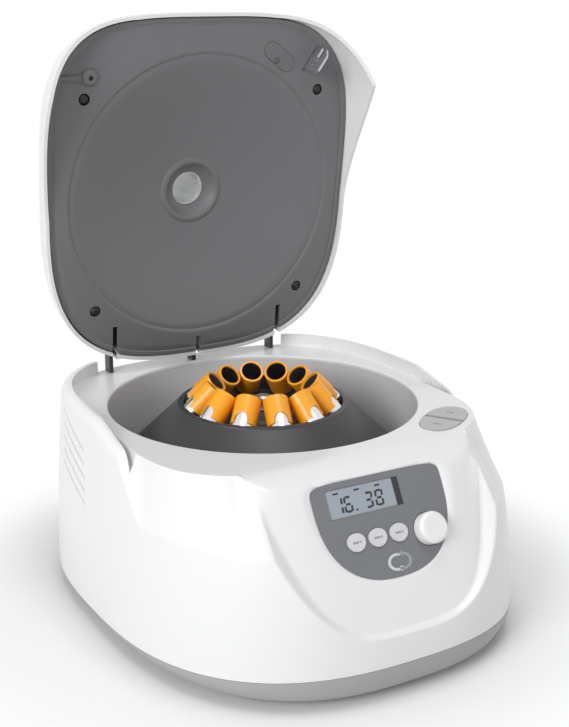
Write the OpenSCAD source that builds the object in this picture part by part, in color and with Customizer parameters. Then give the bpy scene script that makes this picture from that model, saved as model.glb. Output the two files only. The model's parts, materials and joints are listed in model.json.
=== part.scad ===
/* [Housing] */
// Width of the housing where it is widest, just above the base tray
housing_w = 295; // [280:1:310]
// Distance from the rotor axis to the foremost point of the housing
front_reach = 204; // [196:1:214]
// Distance from the rotor axis to the rearmost point of the housing
rear_reach = 148; // [142:1:158]
// Height of the chamber rim above the bench
rim_z = 143; // [138:1:150]
// Height of the raised side walls above the deck
cheek_rise = 10; // [6:1:14]
// Wall thickness of the moulded housing
shell_t = 3; // [2.4:0.2:4]
// Distance of the rotor axis behind the origin
axis_y = 14.1; // [0:0.1:30]
// Height of the rubber feet
foot_h = 8; // [6:1:12]
// Radius of a rubber foot
foot_r = 13; // [9:1:16]

/* [Chamber] */
// Radius of the round rotor chamber
bowl_r = 116; // [115:1:118]
// Depth of the rotor chamber below its rim
bowl_depth = 74; // [72:1:76]
// Wall thickness of the chamber liner
bowl_t = 1.5; // [1:0.1:2]

/* [Rotor] */
// Number of tube places
tube_count = 12; // [6:1:12]
// Distance from the rotor axis to the middle of a tube mouth
mouth_r = 36.5; // [36:0.5:38]
// Height of a tube mouth above the chamber rim
mouth_rise = 12.4; // [11:0.1:13]
// Lean of the tubes from the vertical
tube_lean = 45; // [44:0.5:46]
// Length of a tube shield along its own axis
shield_len = 102; // [96:1:103]
// Outside radius of a tube shield
shield_r = 8.5; // [8:0.1:8.7]
// Length of an orange tube sleeve
sleeve_len = 22; // [18:1:24]
// Outside radius of an orange tube sleeve
sleeve_r = 9.4; // [9.2:0.1:9.4]
// Radius of the rotor rim at its top
rotor_rim_r = 63.4; // [62:0.2:66]

/* [Lid] */
// Angle between the closed lid and the open lid
lid_open = 83.5; // [70:0.5:88]
// Height of the lid dome above its lower edge
dome_h = 80; // [60:1:95]
// Half width of the lid at its lower edge
lid_half_w = 130; // [127:0.5:130]
// Reach of the lid in front of the rotor axis
lid_front = 141; // [136:1:145]
// Reach of the lid behind the rotor axis
lid_rear = 133; // [130:1:133]
// Depth of the triangular side skirts below the lid edge
skirt_drop = 26; // [16:1:30]
// Wall thickness of the lid shell
lid_t = 2.5; // [2:0.1:3]
// Radius of the dished part of the lid lining
dish_r = 111; // [104:1:113]
// Depth of the dish at its middle
dish_depth = 24; // [20:1:28]
// Radius of the sight hole
sight_r = 12.6; // [10:0.2:15]

/* [Hinge] */
// Distance of the hinge pins behind the rotor axis
hinge_back = 123.3; // [122:0.1:125]
// Height of the hinge pins above the chamber rim
hinge_rise = 19.7; // [19:0.1:22]
// Distance from the middle to an outer hinge post
hinge_x = 73.5; // [66:0.5:80]
// Thickness of a hinge post
post_t = 3.2; // [2.6:0.1:4]
// Radius of the hinge pins
pin_r = 2; // [1.6:0.1:2.4]

/* [Control panel] */
// Slope of the control panel from the horizontal
panel_slope = 60; // [56:1:64]
// Half width of the grey control panel
panel_half_w = 50.5; // [47:0.5:53]
// Width of the display window
lcd_w = 56; // [44:1:60]
// Height of the display window
lcd_h = 19; // [14:1:22]
// Distance between the middles of neighbouring keys
key_pitch = 16.4; // [15.5:0.1:18]
// Travel of a key
key_travel = 0.8; // [0.5:0.1:1.2]
// Radius of the setting knob
knob_r = 10.8; // [9:0.1:12]
// Height of the setting knob above the panel
knob_h = 9; // [7:0.5:12]

/* [Lid release] */
// Half length of the oval that holds both release buttons
release_long = 28; // [24:0.5:30]
// Half width of the oval that holds both release buttons
release_wide = 14.5; // [13:0.5:15.5]
// Travel of a release button
release_travel = 2.5; // [1.5:0.1:3]
// Width of the latch slot between the buttons
latch_slot = 4; // [3.4:0.1:5]

/* [Motor] */
// Radius of the motor can
motor_r = 40; // [34:1:44]
// Radius of the drive shaft
shaft_r = 5; // [4:0.1:6]

/* [Hidden] */

// Smoothness of round parts and number of points round the lofted shells
fine = 96;
ring_n = 72;
fit = 0.05;
seam = 0.3;
plan_mid = -19;
front_power = 2.6;
rear_power = 3.2;
pan_z = foot_h;
pan_t = 3;
pan_rise_r = 2350;
pan_rise_y = 48;
pan_low = 4;
pan_inset = 5;
half_w = housing_w / 2;
deck_z = rim_z + 1.5;
wall_top = deck_z + cheek_rise;
shoulder_r = 7;
deck_inset = 10;
side_slope_h = 42;
widest_z = pan_z + 10;
side_draft = 7.2;
front_draft = 35;
notch_y = -55;
notch_run = 49;
wall_w = 9.5;
ear_x = 90;

function sign_of(v) = v < 0 ? -1 : 1;
function power_of(v, p) = sign_of(v) * pow(abs(v), p);
function plan_point(i, w, f, r, mid, pf, pr) = let (
    t = i * 360 / ring_n,
    s = sin(t),
    p = 2 / (s < 0 ? pf : pr))
    [w * power_of(cos(t), p), mid + (s < 0 ? f : r) * power_of(s, p)];
function height_part(z) = max(0, (z - widest_z) / (rim_z - widest_z));
function body_w(z) = half_w - side_draft * pow(height_part(z), 1.5);
function body_f(z) = front_reach + plan_mid - front_draft * pow(height_part(z), 2.6);
function body_r(z) = rear_reach - plan_mid - 5 * pow(height_part(z), 1.5);
function body_point(i, z, inset) = plan_point(i, body_w(z) - inset, body_f(z) - inset, body_r(z) - inset,
    plan_mid, front_power, rear_power);
function seam_z(y) = pan_z + pan_low + pow(max(0, pan_rise_y - y), 2) / (2 * pan_rise_r);
function front_share(y) = max(0, min(1, (notch_y - 2 - y) / 8));
function shoulder_h(y) = shoulder_r + (side_slope_h - shoulder_r) * front_share(y);
function shoulder_in(y, part) = (1 - front_share(y)) * shoulder_r * (1 - cos(90 * part))
    + front_share(y) * deck_inset * (1 - pow(1 - part, 1.5));
function shoulder_drop(y, part) = (1 - front_share(y)) * shoulder_r * (1 - sin(90 * part))
    + front_share(y) * side_slope_h * (1 - part);
function top_z(y) = deck_z + (wall_top - deck_z) * max(0, min(1, (y - notch_y) / notch_run));

// Closed mesh through a stack of rings, each a list of ring_n points
module loft(rings, low, high) {
    n = ring_n;
    last = len(rings) - 1;
    points = concat([for (r = rings) for (p = r) p], [low, high]);
    sides = [for (k = [0:last - 1]) for (i = [0:n - 1]) for (h = [0, 1])
        let (j = (i + 1) % n)
        h == 0 ? [k * n + i, (k + 1) * n + j, k * n + j] : [k * n + i, (k + 1) * n + i, (k + 1) * n + j]];
    bottom = [for (i = [0:n - 1]) [i, (i + 1) % n, len(points) - 2]];
    top = [for (i = [0:n - 1]) [last * n + (i + 1) % n, last * n + i, len(points) - 1]];
    polyhedron(points, concat(sides, bottom, top));
}

// Everything that belongs to the rotor axis is drawn round it
module at_axis() translate([0, axis_y, 0]) children();

// Ring of the housing skin at a share of the way from the seam to the roof line
function skin_ring(part, inset) = [for (i = [0:ring_n - 1])
    let (
        y0 = body_point(i, deck_z, inset)[1],
        low = seam_z(body_point(i, widest_z, inset)[1]) + seam,
        z = low + part * (top_z(y0) - shoulder_h(y0) - low),
        p = body_point(i, z, inset))
    [p[0], p[1], z]];
function shoulder_ring(part, inset) = [for (i = [0:ring_n - 1])
    let (
        y0 = body_point(i, deck_z, inset)[1],
        z = top_z(y0) - shoulder_drop(y0, part),
        p = body_point(i, z, inset + shoulder_in(y0, part)))
    [p[0], p[1], z]];

// Superellipse outline with its own upper and lower heights
function shield_points(w, up, down, pu, pd, steps) = [for (i = [0:steps - 1])
    let (
        t = i * 360 / steps,
        s = sin(t),
        p = 2 / (s > 0 ? pu : pd))
    [w * power_of(cos(t), p), (s > 0 ? up : down) * power_of(s, p)]];

// Places on the front: the sloping field and the steeper control panel
field_slope = 64.1;
field_y = 27.3 - front_reach;
field_z = rim_z - 48.4;
field_r = 420;
field_step = 9;
field_in = [88.5, 109];
field_out = [98, 124];
field_top = 64;
field_power = 2.3;
recess_w = 63;
recess_mid = 33;
recess_up = 27;
recess_down = 55;
panel_y = 37.8 - front_reach;
panel_z = rim_z - 35.8;
panel_t = 2;
panel_mid = 17;
panel_up = 15.5;
panel_down = 53;
panel_back = 3;
lcd_x = -11.2;
lcd_v = 18.5;
key_x = -9.4;
key_v = -8.2;
key_wide = 6.9;
key_tall = 6.1;
key_gap = 0.35;
key_proud = 1.2;
knob_x = 30;
knob_v = -10.5;
module on_field() translate([0, field_y, field_z]) rotate([field_slope, 0, 0]) children();
module on_panel() translate([0, panel_y, panel_z]) rotate([panel_slope, 0, 0]) children();
module panel_outline(grow) translate([0, panel_mid])
    polygon(shield_points(panel_half_w + grow, panel_up + grow, panel_down + grow, 7, 2.4, ring_n));

// Everything in front of the gently curved field and the roll above it, inside the U line
roll_r = 45;
roll_y = 80.5 - front_reach;
module field_cut() intersection() {
    union() {
        on_field() difference() {
            translate([0, 0, -20]) linear_extrude(80) square([240, 360], center = true);
            translate([0, 0, -field_r]) rotate([90, 0, 0]) cylinder(h = 400, r = field_r, center = true, $fn = 360);
        }
        difference() {
            translate([-120, roll_y - 80, deck_z - roll_r]) cube([240, 80, roll_r + 20]);
            translate([0, roll_y, deck_z - roll_r]) rotate([0, 90, 0]) cylinder(h = 300, r = roll_r, center = true, $fn = 180);
        }
    }
    on_field() union() {
        u_block(0, field_step, field_in, field_out);
        translate([0, 0, field_step - 0.01]) linear_extrude(60) u_outline(field_out);
    }
}
module u_outline(size) translate([0, field_top])
    polygon(shield_points(size[0], 40, size[1], 12, field_power, ring_n));
module u_block(z0, z1, inner, outer) {
    low = [for (p = shield_points(inner[0], 40, inner[1], 12, field_power, ring_n)) [p[0], p[1] + field_top, -50]];
    mid = [for (p = shield_points(inner[0], 40, inner[1], 12, field_power, ring_n)) [p[0], p[1] + field_top, -5]];
    high = [for (p = shield_points(outer[0], 40, outer[1], 12, field_power, ring_n)) [p[0], p[1] + field_top, z1]];
    loft([low, mid, high], [0, field_top, -50], [0, field_top, z1]);
}

// Sunk place of the control panel, with sloping walls
module recess_cut() {
    foot = [for (p = shield_points(panel_half_w + seam, panel_up + seam, panel_down + seam, 7, 2.4, ring_n))
        [p[0], p[1] + panel_mid, 0]];
    mouth = [for (p = shield_points(recess_w, recess_up, recess_down + 2, 6, 2.3, ring_n))
        [p[0], p[1] + recess_mid - 4, 14]];
    on_panel() loft([foot, mouth], [0, panel_mid, 0], [0, recess_mid, 14]);
    on_panel() translate([0, 0, -panel_t]) linear_extrude(panel_t + 0.01) panel_outline(seam);
}

// Raised wall between the cheeks, above the deck
module deck_well() {
    inner = [for (i = [0:ring_n - 1]) let (p = body_point(i, deck_z, wall_w)) [p[0], p[1]]];
    translate([0, 0, deck_z]) linear_extrude(40) polygon(inner);
    translate([-ear_x, rear_reach - 60, deck_z]) cube([2 * ear_x, 80, 40]);
}

module housing_cavity() {
    top = deck_z - shell_t;
    heights = [pan_z - 2, 40, 70, rim_z - 58, rim_z - 42, top];
    insets = [shell_t, shell_t, shell_t, shell_t, seat_wall, seat_wall];
    translate([0, 0, rim_z - 45]) cylinder(h = top - rim_z + 45, r = bowl_r + bowl_flange + 1, $fn = fine);
    at_release() translate([0, 0, frame_z - 1]) linear_extrude(top - frame_z + 1) release_outline(3);
    difference() {
        loft([for (k = [0:len(heights) - 1]) [for (i = [0:ring_n - 1])
            let (p = body_point(i, max(heights[k], widest_z), insets[k])) [p[0], p[1], heights[k]]]],
            [0, 0, heights[0]], [0, 0, top]);
        on_panel() translate([-200, -300, -panel_t - panel_back]) cube([400, 600, 600]);
        translate([0, roll_y, deck_z - roll_r]) rotate([30, 0, 0]) translate([-200, -200, roll_r - shell_t])
            cube([400, 400, 100]);
        translate([port_x - port_w / 2 - shell_t, port_y - shell_t, inlet_z - port_h / 2 - shell_t])
            cube([port_w + 2 * shell_t, 40, port_h + 2 * shell_t]);
    }
}

// Slanting grooves in both flanks, cut to an even depth
louvre_n = 5;
louvre_pitch = 9.6;
louvre_len = 54;
louvre_depth = 1.2;
module louvres() intersection() {
    difference() {
        flank_band(-2);
        flank_band(louvre_depth);
    }
    for (k = [0:louvre_n - 1]) translate([0, 32 - k * 1.5, rim_z - 8 - k * louvre_pitch]) rotate([17.4, 0, 0])
        cube([2 * half_w + 20, louvre_len, 1.8], center = true);
}
module flank_band(inset) {
    heights = [rim_z - 62, rim_z - 40, rim_z - 20, rim_z + 4];
    loft([for (z = heights) [for (i = [0:ring_n - 1]) let (p = body_point(i, z, inset)) [p[0], p[1], z]]],
        [0, 0, heights[0]], [0, 0, heights[3]]);
}

// Sloping seat for the side skirts of the closed lid, which becomes a groove behind the notch
seat_wall = 20;
seat_gap = 1;
seat_run = 1.7;
module skirt_seat() difference() {
    loft([[for (i = [0:ring_n - 1]) seat_point(i, seat_low(i), 1)], [for (i = [0:ring_n - 1]) seat_point(i, 0, 1)],
        [for (i = [0:ring_n - 1]) seat_point(i, 0, 1) + [0, 0, 40]]], [0, 0, lid_edge_z], [0, 0, lid_edge_z + 40]);
    loft([for (part = [seat_run + 0.3, 1, 0.5, 0, -1]) [for (i = [0:ring_n - 1])
        seat_point(i, max(part, 0), 0) + [0, 0, part < 0 ? 50 : 0]]], [0, 0, lid_edge_z], [0, 0, lid_edge_z + 50]);
}
function seat_low(i) = lid_point(i, 1, 0)[1] < notch_y - 3 ? seat_run : 1;
function seat_point(i, part, out) = let (
    p = lid_point(i, 1, 0),
    s = skirt_share(p[0], p[1]),
    grow = out < 1 ? -lid_t - seat_gap : p[1] < notch_y - 3 ? 30 : seat_gap + 0.2,
    q = lid_point(i, 1, top_flare * sqrt(s) + skirt_flare * s * part + grow))
    [q[0], q[1], lid_edge_z - (skirt_drop * part + (part > 0 ? seat_gap : 0)) * s];

release_pos = [half_w - 57.1, 99.2 - front_reach];
release_turn = 33.6;
module at_release() translate([release_pos[0], release_pos[1], 0]) rotate(release_turn) children();
module release_outline(grow) polygon([for (i = [0:ring_n - 1]) let (t = i * 360 / ring_n)
    [(release_long + grow) * power_of(cos(t), 0.9), (release_wide + grow) * power_of(sin(t), 0.9)]]);

inlet_w = 28;
inlet_h = 20;
inlet_z = 40;
inlet_x = -28;
switch_w = 13;
switch_h = 19.5;
switch_x = -62;
port_x = -44;
port_w = 72;
port_h = 34;
port_y = rear_reach - 10;

module upper_housing() color([0.93, 0.93, 0.94]) at_axis() difference() {
    loft(concat(
        [for (k = [0:8]) skin_ring(k / 8, 0)],
        [for (part = [0.2:0.2:1]) shoulder_ring(part, 0)]),
        [0, 0, seam_z(0) + seam], [0, 0, deck_z + 0.5]);
    housing_cavity();
    deck_well();
    translate([0, 0, deck_z - shell_t - 1]) cylinder(h = 20, r = bowl_r, $fn = fine);
    field_cut();
    recess_cut();
    on_panel() {
        translate([lcd_x, lcd_v, -20]) linear_extrude(30) square([lcd_w + 4, lcd_h + 4], center = true);
        for (k = [-1:1]) translate([key_x + k * key_pitch, key_v, -20]) cylinder(h = 30, r = 7.4, $fn = fine);
        translate([knob_x, knob_v, -20]) cylinder(h = 30, r = 9.5, $fn = fine);
    }
    at_release() translate([0, 0, deck_z - 10]) linear_extrude(20) release_outline(seam);
    louvres();
    skirt_seat();
    translate([port_x - port_w / 2, port_y, inlet_z - port_h / 2]) cube([port_w, 40, port_h]);
    translate([inlet_x, port_y, inlet_z]) cube([inlet_w, 30, inlet_h], center = true);
    translate([switch_x, port_y, inlet_z]) cube([switch_w, 30, switch_h], center = true);
}

module base_pan() color([0.6, 0.6, 0.61]) at_axis() {
    difference() {
        loft([for (part = [0, 0.35, 1]) [for (i = [0:ring_n - 1])
            let (
                p0 = body_point(i, widest_z, 0),
                z = pan_z + part * (seam_z(p0[1]) - pan_z),
                p = body_point(i, widest_z, pan_inset * pow(1 - part, 2)))
            [p[0], p[1], z]]], [0, 0, pan_z], [0, 0, seam_z(0)]);
        translate([0, 0, pan_z + pan_t]) loft([for (z = [0, 40]) [for (i = [0:ring_n - 1])
            let (p = body_point(i, widest_z, pan_inset + shell_t)) [p[0], p[1], z]]], [0, 0, 0], [0, 0, 40]);
        for (s = screw_places) translate([s[0], s[1], pan_z - 1]) cylinder(h = 6, r = 2.2, $fn = 24);
        for (s = foot_places) translate([s[0], s[1], pan_z - 1]) cylinder(h = 2.2, r = foot_r + 0.4, $fn = fine);
        for (k = [-4:4]) translate([k * 9, 62, pan_z + 1]) cube([3, 50, 6], center = true);
    }
}

foot_places = [[-92, 100], [92, 100], [-84, -128], [84, -128]];
screw_places = [[-118, 70], [118, 70], [-118, -60], [118, -60], [0, -150], [0, 118]];
module rubber_feet() color([0.2, 0.2, 0.21]) at_axis()
    for (s = foot_places) translate([s[0], s[1], 0])
        rotate_extrude($fn = fine) polygon([[0, 0], [foot_r - 2.5, 0], [foot_r - 1, 1], [foot_r, foot_h + 1.2],
            [0, foot_h + 1.2]]);

module screw(len, head_r, shank_r) rotate_extrude($fn = 32)
    polygon([[0, -len], [shank_r, -len], [shank_r, 0], [head_r, 0], [head_r, head_r * 0.45], [head_r * 0.55, head_r * 0.8],
        [0, head_r * 0.8]]);
module pan_screws() color([0.55, 0.55, 0.56]) at_axis()
    for (s = screw_places) translate([s[0], s[1], pan_z]) rotate([180, 0, 0]) screw(pan_t + 4, 3.6, 2);

bowl_flange = 7;
bowl_corner = 14;
bowl_floor_z = rim_z - bowl_depth;
seal_r = 16;
module rotor_bowl() color([0.8, 0.81, 0.82]) at_axis() {
    under = deck_z - shell_t - 0.1;
    outer_floor = bowl_floor_z - bowl_t;
    steps = 8;
    inner = [for (k = [0:steps]) let (a = k * 90 / steps)
        [bowl_r - bowl_corner * (1 - cos(a)), bowl_floor_z + bowl_corner * (1 - sin(a))]];
    outer = [for (k = [steps:-1:0]) let (a = k * 90 / steps)
        [bowl_r + bowl_t - (bowl_corner + bowl_t) * (1 - cos(a)),
            outer_floor + (bowl_corner + bowl_t) * (1 - sin(a))]];
    rotate_extrude($fn = 2 * fine) polygon(concat(
        [[bowl_r, under]], inner, [[seal_r, bowl_floor_z], [seal_r, outer_floor]], outer,
        [[bowl_r + bowl_t, under - bowl_t], [bowl_r + bowl_flange, under - bowl_t], [bowl_r + bowl_flange, under]]));
}
bowl_screw_turn = [65, 115, 180, 235, 0];
module bowl_screws() color([0.55, 0.55, 0.56]) at_axis()
    for (a = bowl_screw_turn) rotate(a) translate([bowl_r + (bowl_t + bowl_flange) / 2, 0, deck_z - shell_t - 0.1 - bowl_t])
        rotate([180, 0, 0]) rotate_extrude($fn = 32) polygon([[0, 0], [2.4, 0], [2.4, 1.4], [1.4, 2.2], [0, 2.2]]);

module shaft_seal() color([0.15, 0.15, 0.16]) at_axis() translate([0, 0, bowl_floor_z - 4])
    rotate_extrude($fn = fine) polygon([[9, 0], [13, 0], [seal_r - fit, 2], [seal_r - fit, 6.5], [seal_r + 3, 6.5],
        [seal_r + 3, 4.1], [seal_r + 3, 8], [12, 9.5], [9, 9.5]]);

damper_h = 8;
plate_t = 2.5;
plate_half = 58;
damper_at = 48;
floor_z = pan_z + pan_t;
plate_z = floor_z + damper_h;
can_z = plate_z + plate_t;
can_h = 36;
cover_t = 5;
bearing_r = 11;
bearing_w = 7;
module corners(at) for (x = [-1, 1]) for (y = [-1, 1]) translate([x * at, y * at, 0]) children();
module motor_dampers() color([0.12, 0.12, 0.13]) at_axis() corners(damper_at)
    translate([0, 0, floor_z]) rotate_extrude($fn = 48)
        polygon([[0, 0], [9, 0], [9, 2], [7, 4], [9, 6], [9, damper_h], [0, damper_h]]);
module motor_plate() color([0.65, 0.66, 0.68]) at_axis() translate([0, 0, plate_z]) difference() {
    translate([-plate_half, -plate_half, 0]) cube([2 * plate_half, 2 * plate_half, plate_t]);
    translate([0, 0, -1]) cylinder(h = plate_t + 2, r = bearing_r + 2, $fn = fine);
    for (x = [-1, 1]) translate([x * plate_half, 0, -1]) cylinder(h = plate_t + 2, r = 12, $fn = fine);
}
module motor_can() color([0.3, 0.31, 0.33]) at_axis() translate([0, 0, can_z])
    rotate_extrude($fn = fine) polygon([[shaft_r + 2, 0], [motor_r, 0], [motor_r, can_h], [motor_r - 3, can_h],
        [motor_r - 3, 3], [bearing_r + 3, 3], [bearing_r + 3, bearing_w + 2], [bearing_r, bearing_w + 2],
        [bearing_r, 2], [shaft_r + 2, 2]]);
module motor_cover() color([0.62, 0.63, 0.65]) at_axis() translate([0, 0, can_z + can_h])
    rotate_extrude($fn = fine) polygon([[bearing_r, -2], [bearing_r, cover_t - 1], [shaft_r + 2, cover_t - 1],
        [shaft_r + 2, cover_t], [motor_r, cover_t], [motor_r, 0], [motor_r - 3 - fit, 0], [motor_r - 3 - fit, -3],
        [motor_r - 6, -3], [motor_r - 6, 0], [bearing_r + 3, 0], [bearing_r + 3, -2]]);
module bearing() rotate_extrude($fn = fine)
    polygon([[shaft_r + fit, 0], [bearing_r - fit, 0], [bearing_r - fit, bearing_w - 1], [shaft_r + fit, bearing_w - 1]]);
module motor_bearings() color([0.75, 0.76, 0.78]) at_axis() {
    translate([0, 0, can_z + 2]) bearing();
    translate([0, 0, can_z + can_h + cover_t - 1 - (bearing_w - 1)]) bearing();
}
module motor_armature() color([0.62, 0.42, 0.25]) at_axis() translate([0, 0, can_z + bearing_w + 4]) difference() {
    cylinder(h = can_h - 2 * bearing_w, r = motor_r - 12, $fn = fine);
    translate([0, 0, -1]) cylinder(h = can_h, r = shaft_r + fit, $fn = fine);
    for (a = [0:30:330]) rotate(a) translate([motor_r - 12, 0, -1]) cylinder(h = can_h, r = 2.4, $fn = 24);
}

hub_low = rim_z - 48;
hub_high = rim_z - 6;
hub_r = 18;
collar_r = 8;
shaft_low = can_z + 3;
shaft_top = rim_z + 4;
nut_h = 9;
module drive_shaft() color([0.78, 0.79, 0.8]) at_axis() rotate_extrude($fn = fine)
    polygon([[0, shaft_low], [shaft_r, shaft_low], [shaft_r, hub_low - 6], [collar_r, hub_low - 6],
        [collar_r, hub_low], [shaft_r, hub_low], [shaft_r, hub_high], [shaft_r - 1, hub_high],
        [shaft_r - 1, shaft_top - 1], [shaft_r - 2, shaft_top], [0, shaft_top]]);

// The tube axis leans out from the mouth, and the cone runs beside it
lean_s = sin(tube_lean);
lean_c = cos(tube_lean);
pocket_r = shield_r + 0.2;
pocket_wall = 2.3;
rim_t = 3;
rotor_top = rim_z + 0.7;
rotor_floor = rim_z - 10;
rotor_low = rim_z - 41;
cone_foot_r = rotor_rim_r + (rotor_top - rotor_low) * lean_s / lean_c;
inner_off = (2 * pocket_r + 2 * pocket_wall) / lean_c;
module on_tube(k) rotate(k * 360 / tube_count + 180 / tube_count + 90) translate([mouth_r, 0, rim_z + mouth_rise])
    rotate([0, 180 - tube_lean, 0]) children();
module rotor() color([0.3, 0.3, 0.31]) at_axis() difference() {
    rotate_extrude($fn = 2 * fine) polygon([
        [shaft_r + fit, hub_low], [hub_r, hub_low], [hub_r, rotor_floor - 10],
        [rotor_rim_r - inner_off + (rotor_top - rotor_floor + 10), rotor_floor - 10],
        [cone_foot_r - inner_off, rotor_low], [cone_foot_r - 3, rotor_low], [cone_foot_r, rotor_low + 1.5],
        [rotor_rim_r + 1.5, rotor_top - 1.5], [rotor_rim_r + 0.8, rotor_top - 0.4], [rotor_rim_r - 0.4, rotor_top],
        [rotor_rim_r - rim_t, rotor_top], [rotor_rim_r - rim_t, rotor_floor], [27, rotor_floor],
        [25, rotor_floor + 2], [hub_r - 4, hub_high], [shaft_r + fit, hub_high]]);
    for (k = [0:tube_count - 1]) on_tube(k) translate([0, 0, 4]) cylinder(h = shield_len, r = pocket_r, $fn = 48);
}
module tube_shields() color([0.8, 0.82, 0.84]) at_axis() for (k = [0:tube_count - 1]) on_tube(k)
    translate([0, 0, 1.5]) rotate_extrude($fn = 48) polygon(concat(
        [[shield_r - 0.8, 0], [shield_r, 0]],
        [for (a = [0:15:90]) [shield_r * cos(a), shield_len - 1.5 - shield_r + shield_r * sin(a)]],
        [for (a = [90:-15:0]) [(shield_r - 0.8) * cos(a), shield_len - 1.5 - shield_r + (shield_r - 0.8) * sin(a)]]));
arch_w = 5.4;
arch_h = 7.5;
module tube_sleeves() color([0.95, 0.58, 0.08]) at_axis() for (k = [0:tube_count - 1]) on_tube(k) difference() {
    rotate_extrude($fn = 48) polygon([[shield_r + fit, 1.4], [shield_r - 0.8, 1.4], [shield_r - 0.8, 0],
        [sleeve_r - 0.5, 0], [sleeve_r, 0.5], [sleeve_r, sleeve_len], [shield_r + fit, sleeve_len]]);
    translate([0, 0, sleeve_len]) rotate([0, -90, 0]) linear_extrude(20) union() {
        translate([-(arch_h - arch_w), 0]) circle(r = arch_w, $fn = 32);
        translate([-(arch_h - arch_w), -arch_w]) square([20, 2 * arch_w]);
    }
}
module rotor_nut() color([0.7, 0.71, 0.72]) at_axis() translate([0, 0, hub_high]) difference() {
    union() {
        cylinder(h = 2, r = 11, $fn = fine);
        cylinder(h = nut_h, r = 9, $fn = 6);
    }
    translate([0, 0, -1]) cylinder(h = nut_h + 2, r = shaft_r - 1 + fit, $fn = fine);
}

// The lid is drawn closed and then turned open about the hinge pins
lid_edge_z = rim_z + 3.2;
lining_z = rim_z + 6;
lining_t = 2.2;
lid_front_power = 3.8;
lid_rear_power = 3;
skirt_front_y = -139;
skirt_apex_y = -82;
skirt_end_y = 8;
skirt_flare = 6;
top_flare = 4;
hinge_z = rim_z + hinge_rise;
module opened() translate([0, axis_y + hinge_back, hinge_z]) rotate([-lid_open, 0, 0])
    translate([0, -hinge_back, -hinge_z]) children();
function lid_point(i, shrink, grow) = plan_point(i, lid_half_w * shrink + grow, lid_front * shrink + grow,
    lid_rear * shrink + grow, 0, lid_front_power, lid_rear_power);
function skirt_share(x, y) = abs(x) < 60 ? 0
    : y < skirt_apex_y ? max(0, (y - skirt_front_y) / (skirt_apex_y - skirt_front_y))
    : pow(max(0, (skirt_end_y - y) / (skirt_end_y - skirt_apex_y)), 1.7);
function skirt_ring(part, inset) = [for (i = [0:ring_n - 1])
    let (
        p = lid_point(i, 1, -inset),
        s = skirt_share(p[0], p[1]),
        q = lid_point(i, 1, top_flare * sqrt(s) + skirt_flare * s * part - inset))
    [q[0], q[1], lid_edge_z + rear_lift * rear_share(p[1]) - skirt_drop * s * part]];
rear_lift = 2.4;
function rear_share(y) = pow(max(0, (y - 60) / (lid_rear - 60)), 2);
function dome_ring(turn, h, inset) = [for (i = [0:ring_n - 1])
    let (p = lid_point(i, pow(cos(turn), 0.8), -inset))
    [p[0], p[1], lid_edge_z + rear_lift * rear_share(p[1]) * (1 - sin(turn)) + h * pow(sin(turn), 0.9)]];
knuckle_t = 4;
knuckle_x = post_t / 2 + 0.6 + knuckle_t / 2;
knuckle_places = [knuckle_x - hinge_x, hinge_x - knuckle_x, -knuckle_x, knuckle_x];
module lid_shell() color([0.93, 0.93, 0.94]) opened() difference() {
    union() {
        difference() {
            loft(concat([skirt_ring(1, 0), skirt_ring(0.5, 0), skirt_ring(0, 0)],
                [for (t = [8, 18, 28, 38, 48, 58, 68, 78]) dome_ring(t, dome_h, 0)]),
                [0, 0, lid_edge_z], [0, 0, lid_edge_z + dome_h]);
            loft(concat([[for (p = skirt_ring(1, lid_t)) [p[0], p[1], p[2] - 1]]],
                [skirt_ring(0.5, lid_t), skirt_ring(0, lid_t)],
                [for (t = [10, 25, 40, 55, 70]) dome_ring(t, dome_h - lid_t, lid_t)]),
                [0, 0, lid_edge_z - 1], [0, 0, lid_edge_z + dome_h - lid_t]);
        }
        for (x = knuckle_places) translate([x, 0, 0]) knuckle();
    }
    translate([0, 0, lid_edge_z]) cylinder(h = dome_h + 5, r = sight_r + 6, $fn = fine);
    for (x = [-hinge_x, 0, hinge_x]) translate([x, hinge_back + 13.5, lid_edge_z - 10 + (hinge_rise + 13) / 2])
        cube([post_t + 1.2, 38, hinge_rise + 17], center = true);
    translate([-hinge_x - 3, hinge_back, hinge_z]) rotate([0, 90, 0])
        cylinder(h = 2 * hinge_x + 6, r = pin_r + fit, $fn = 48);
}

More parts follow.
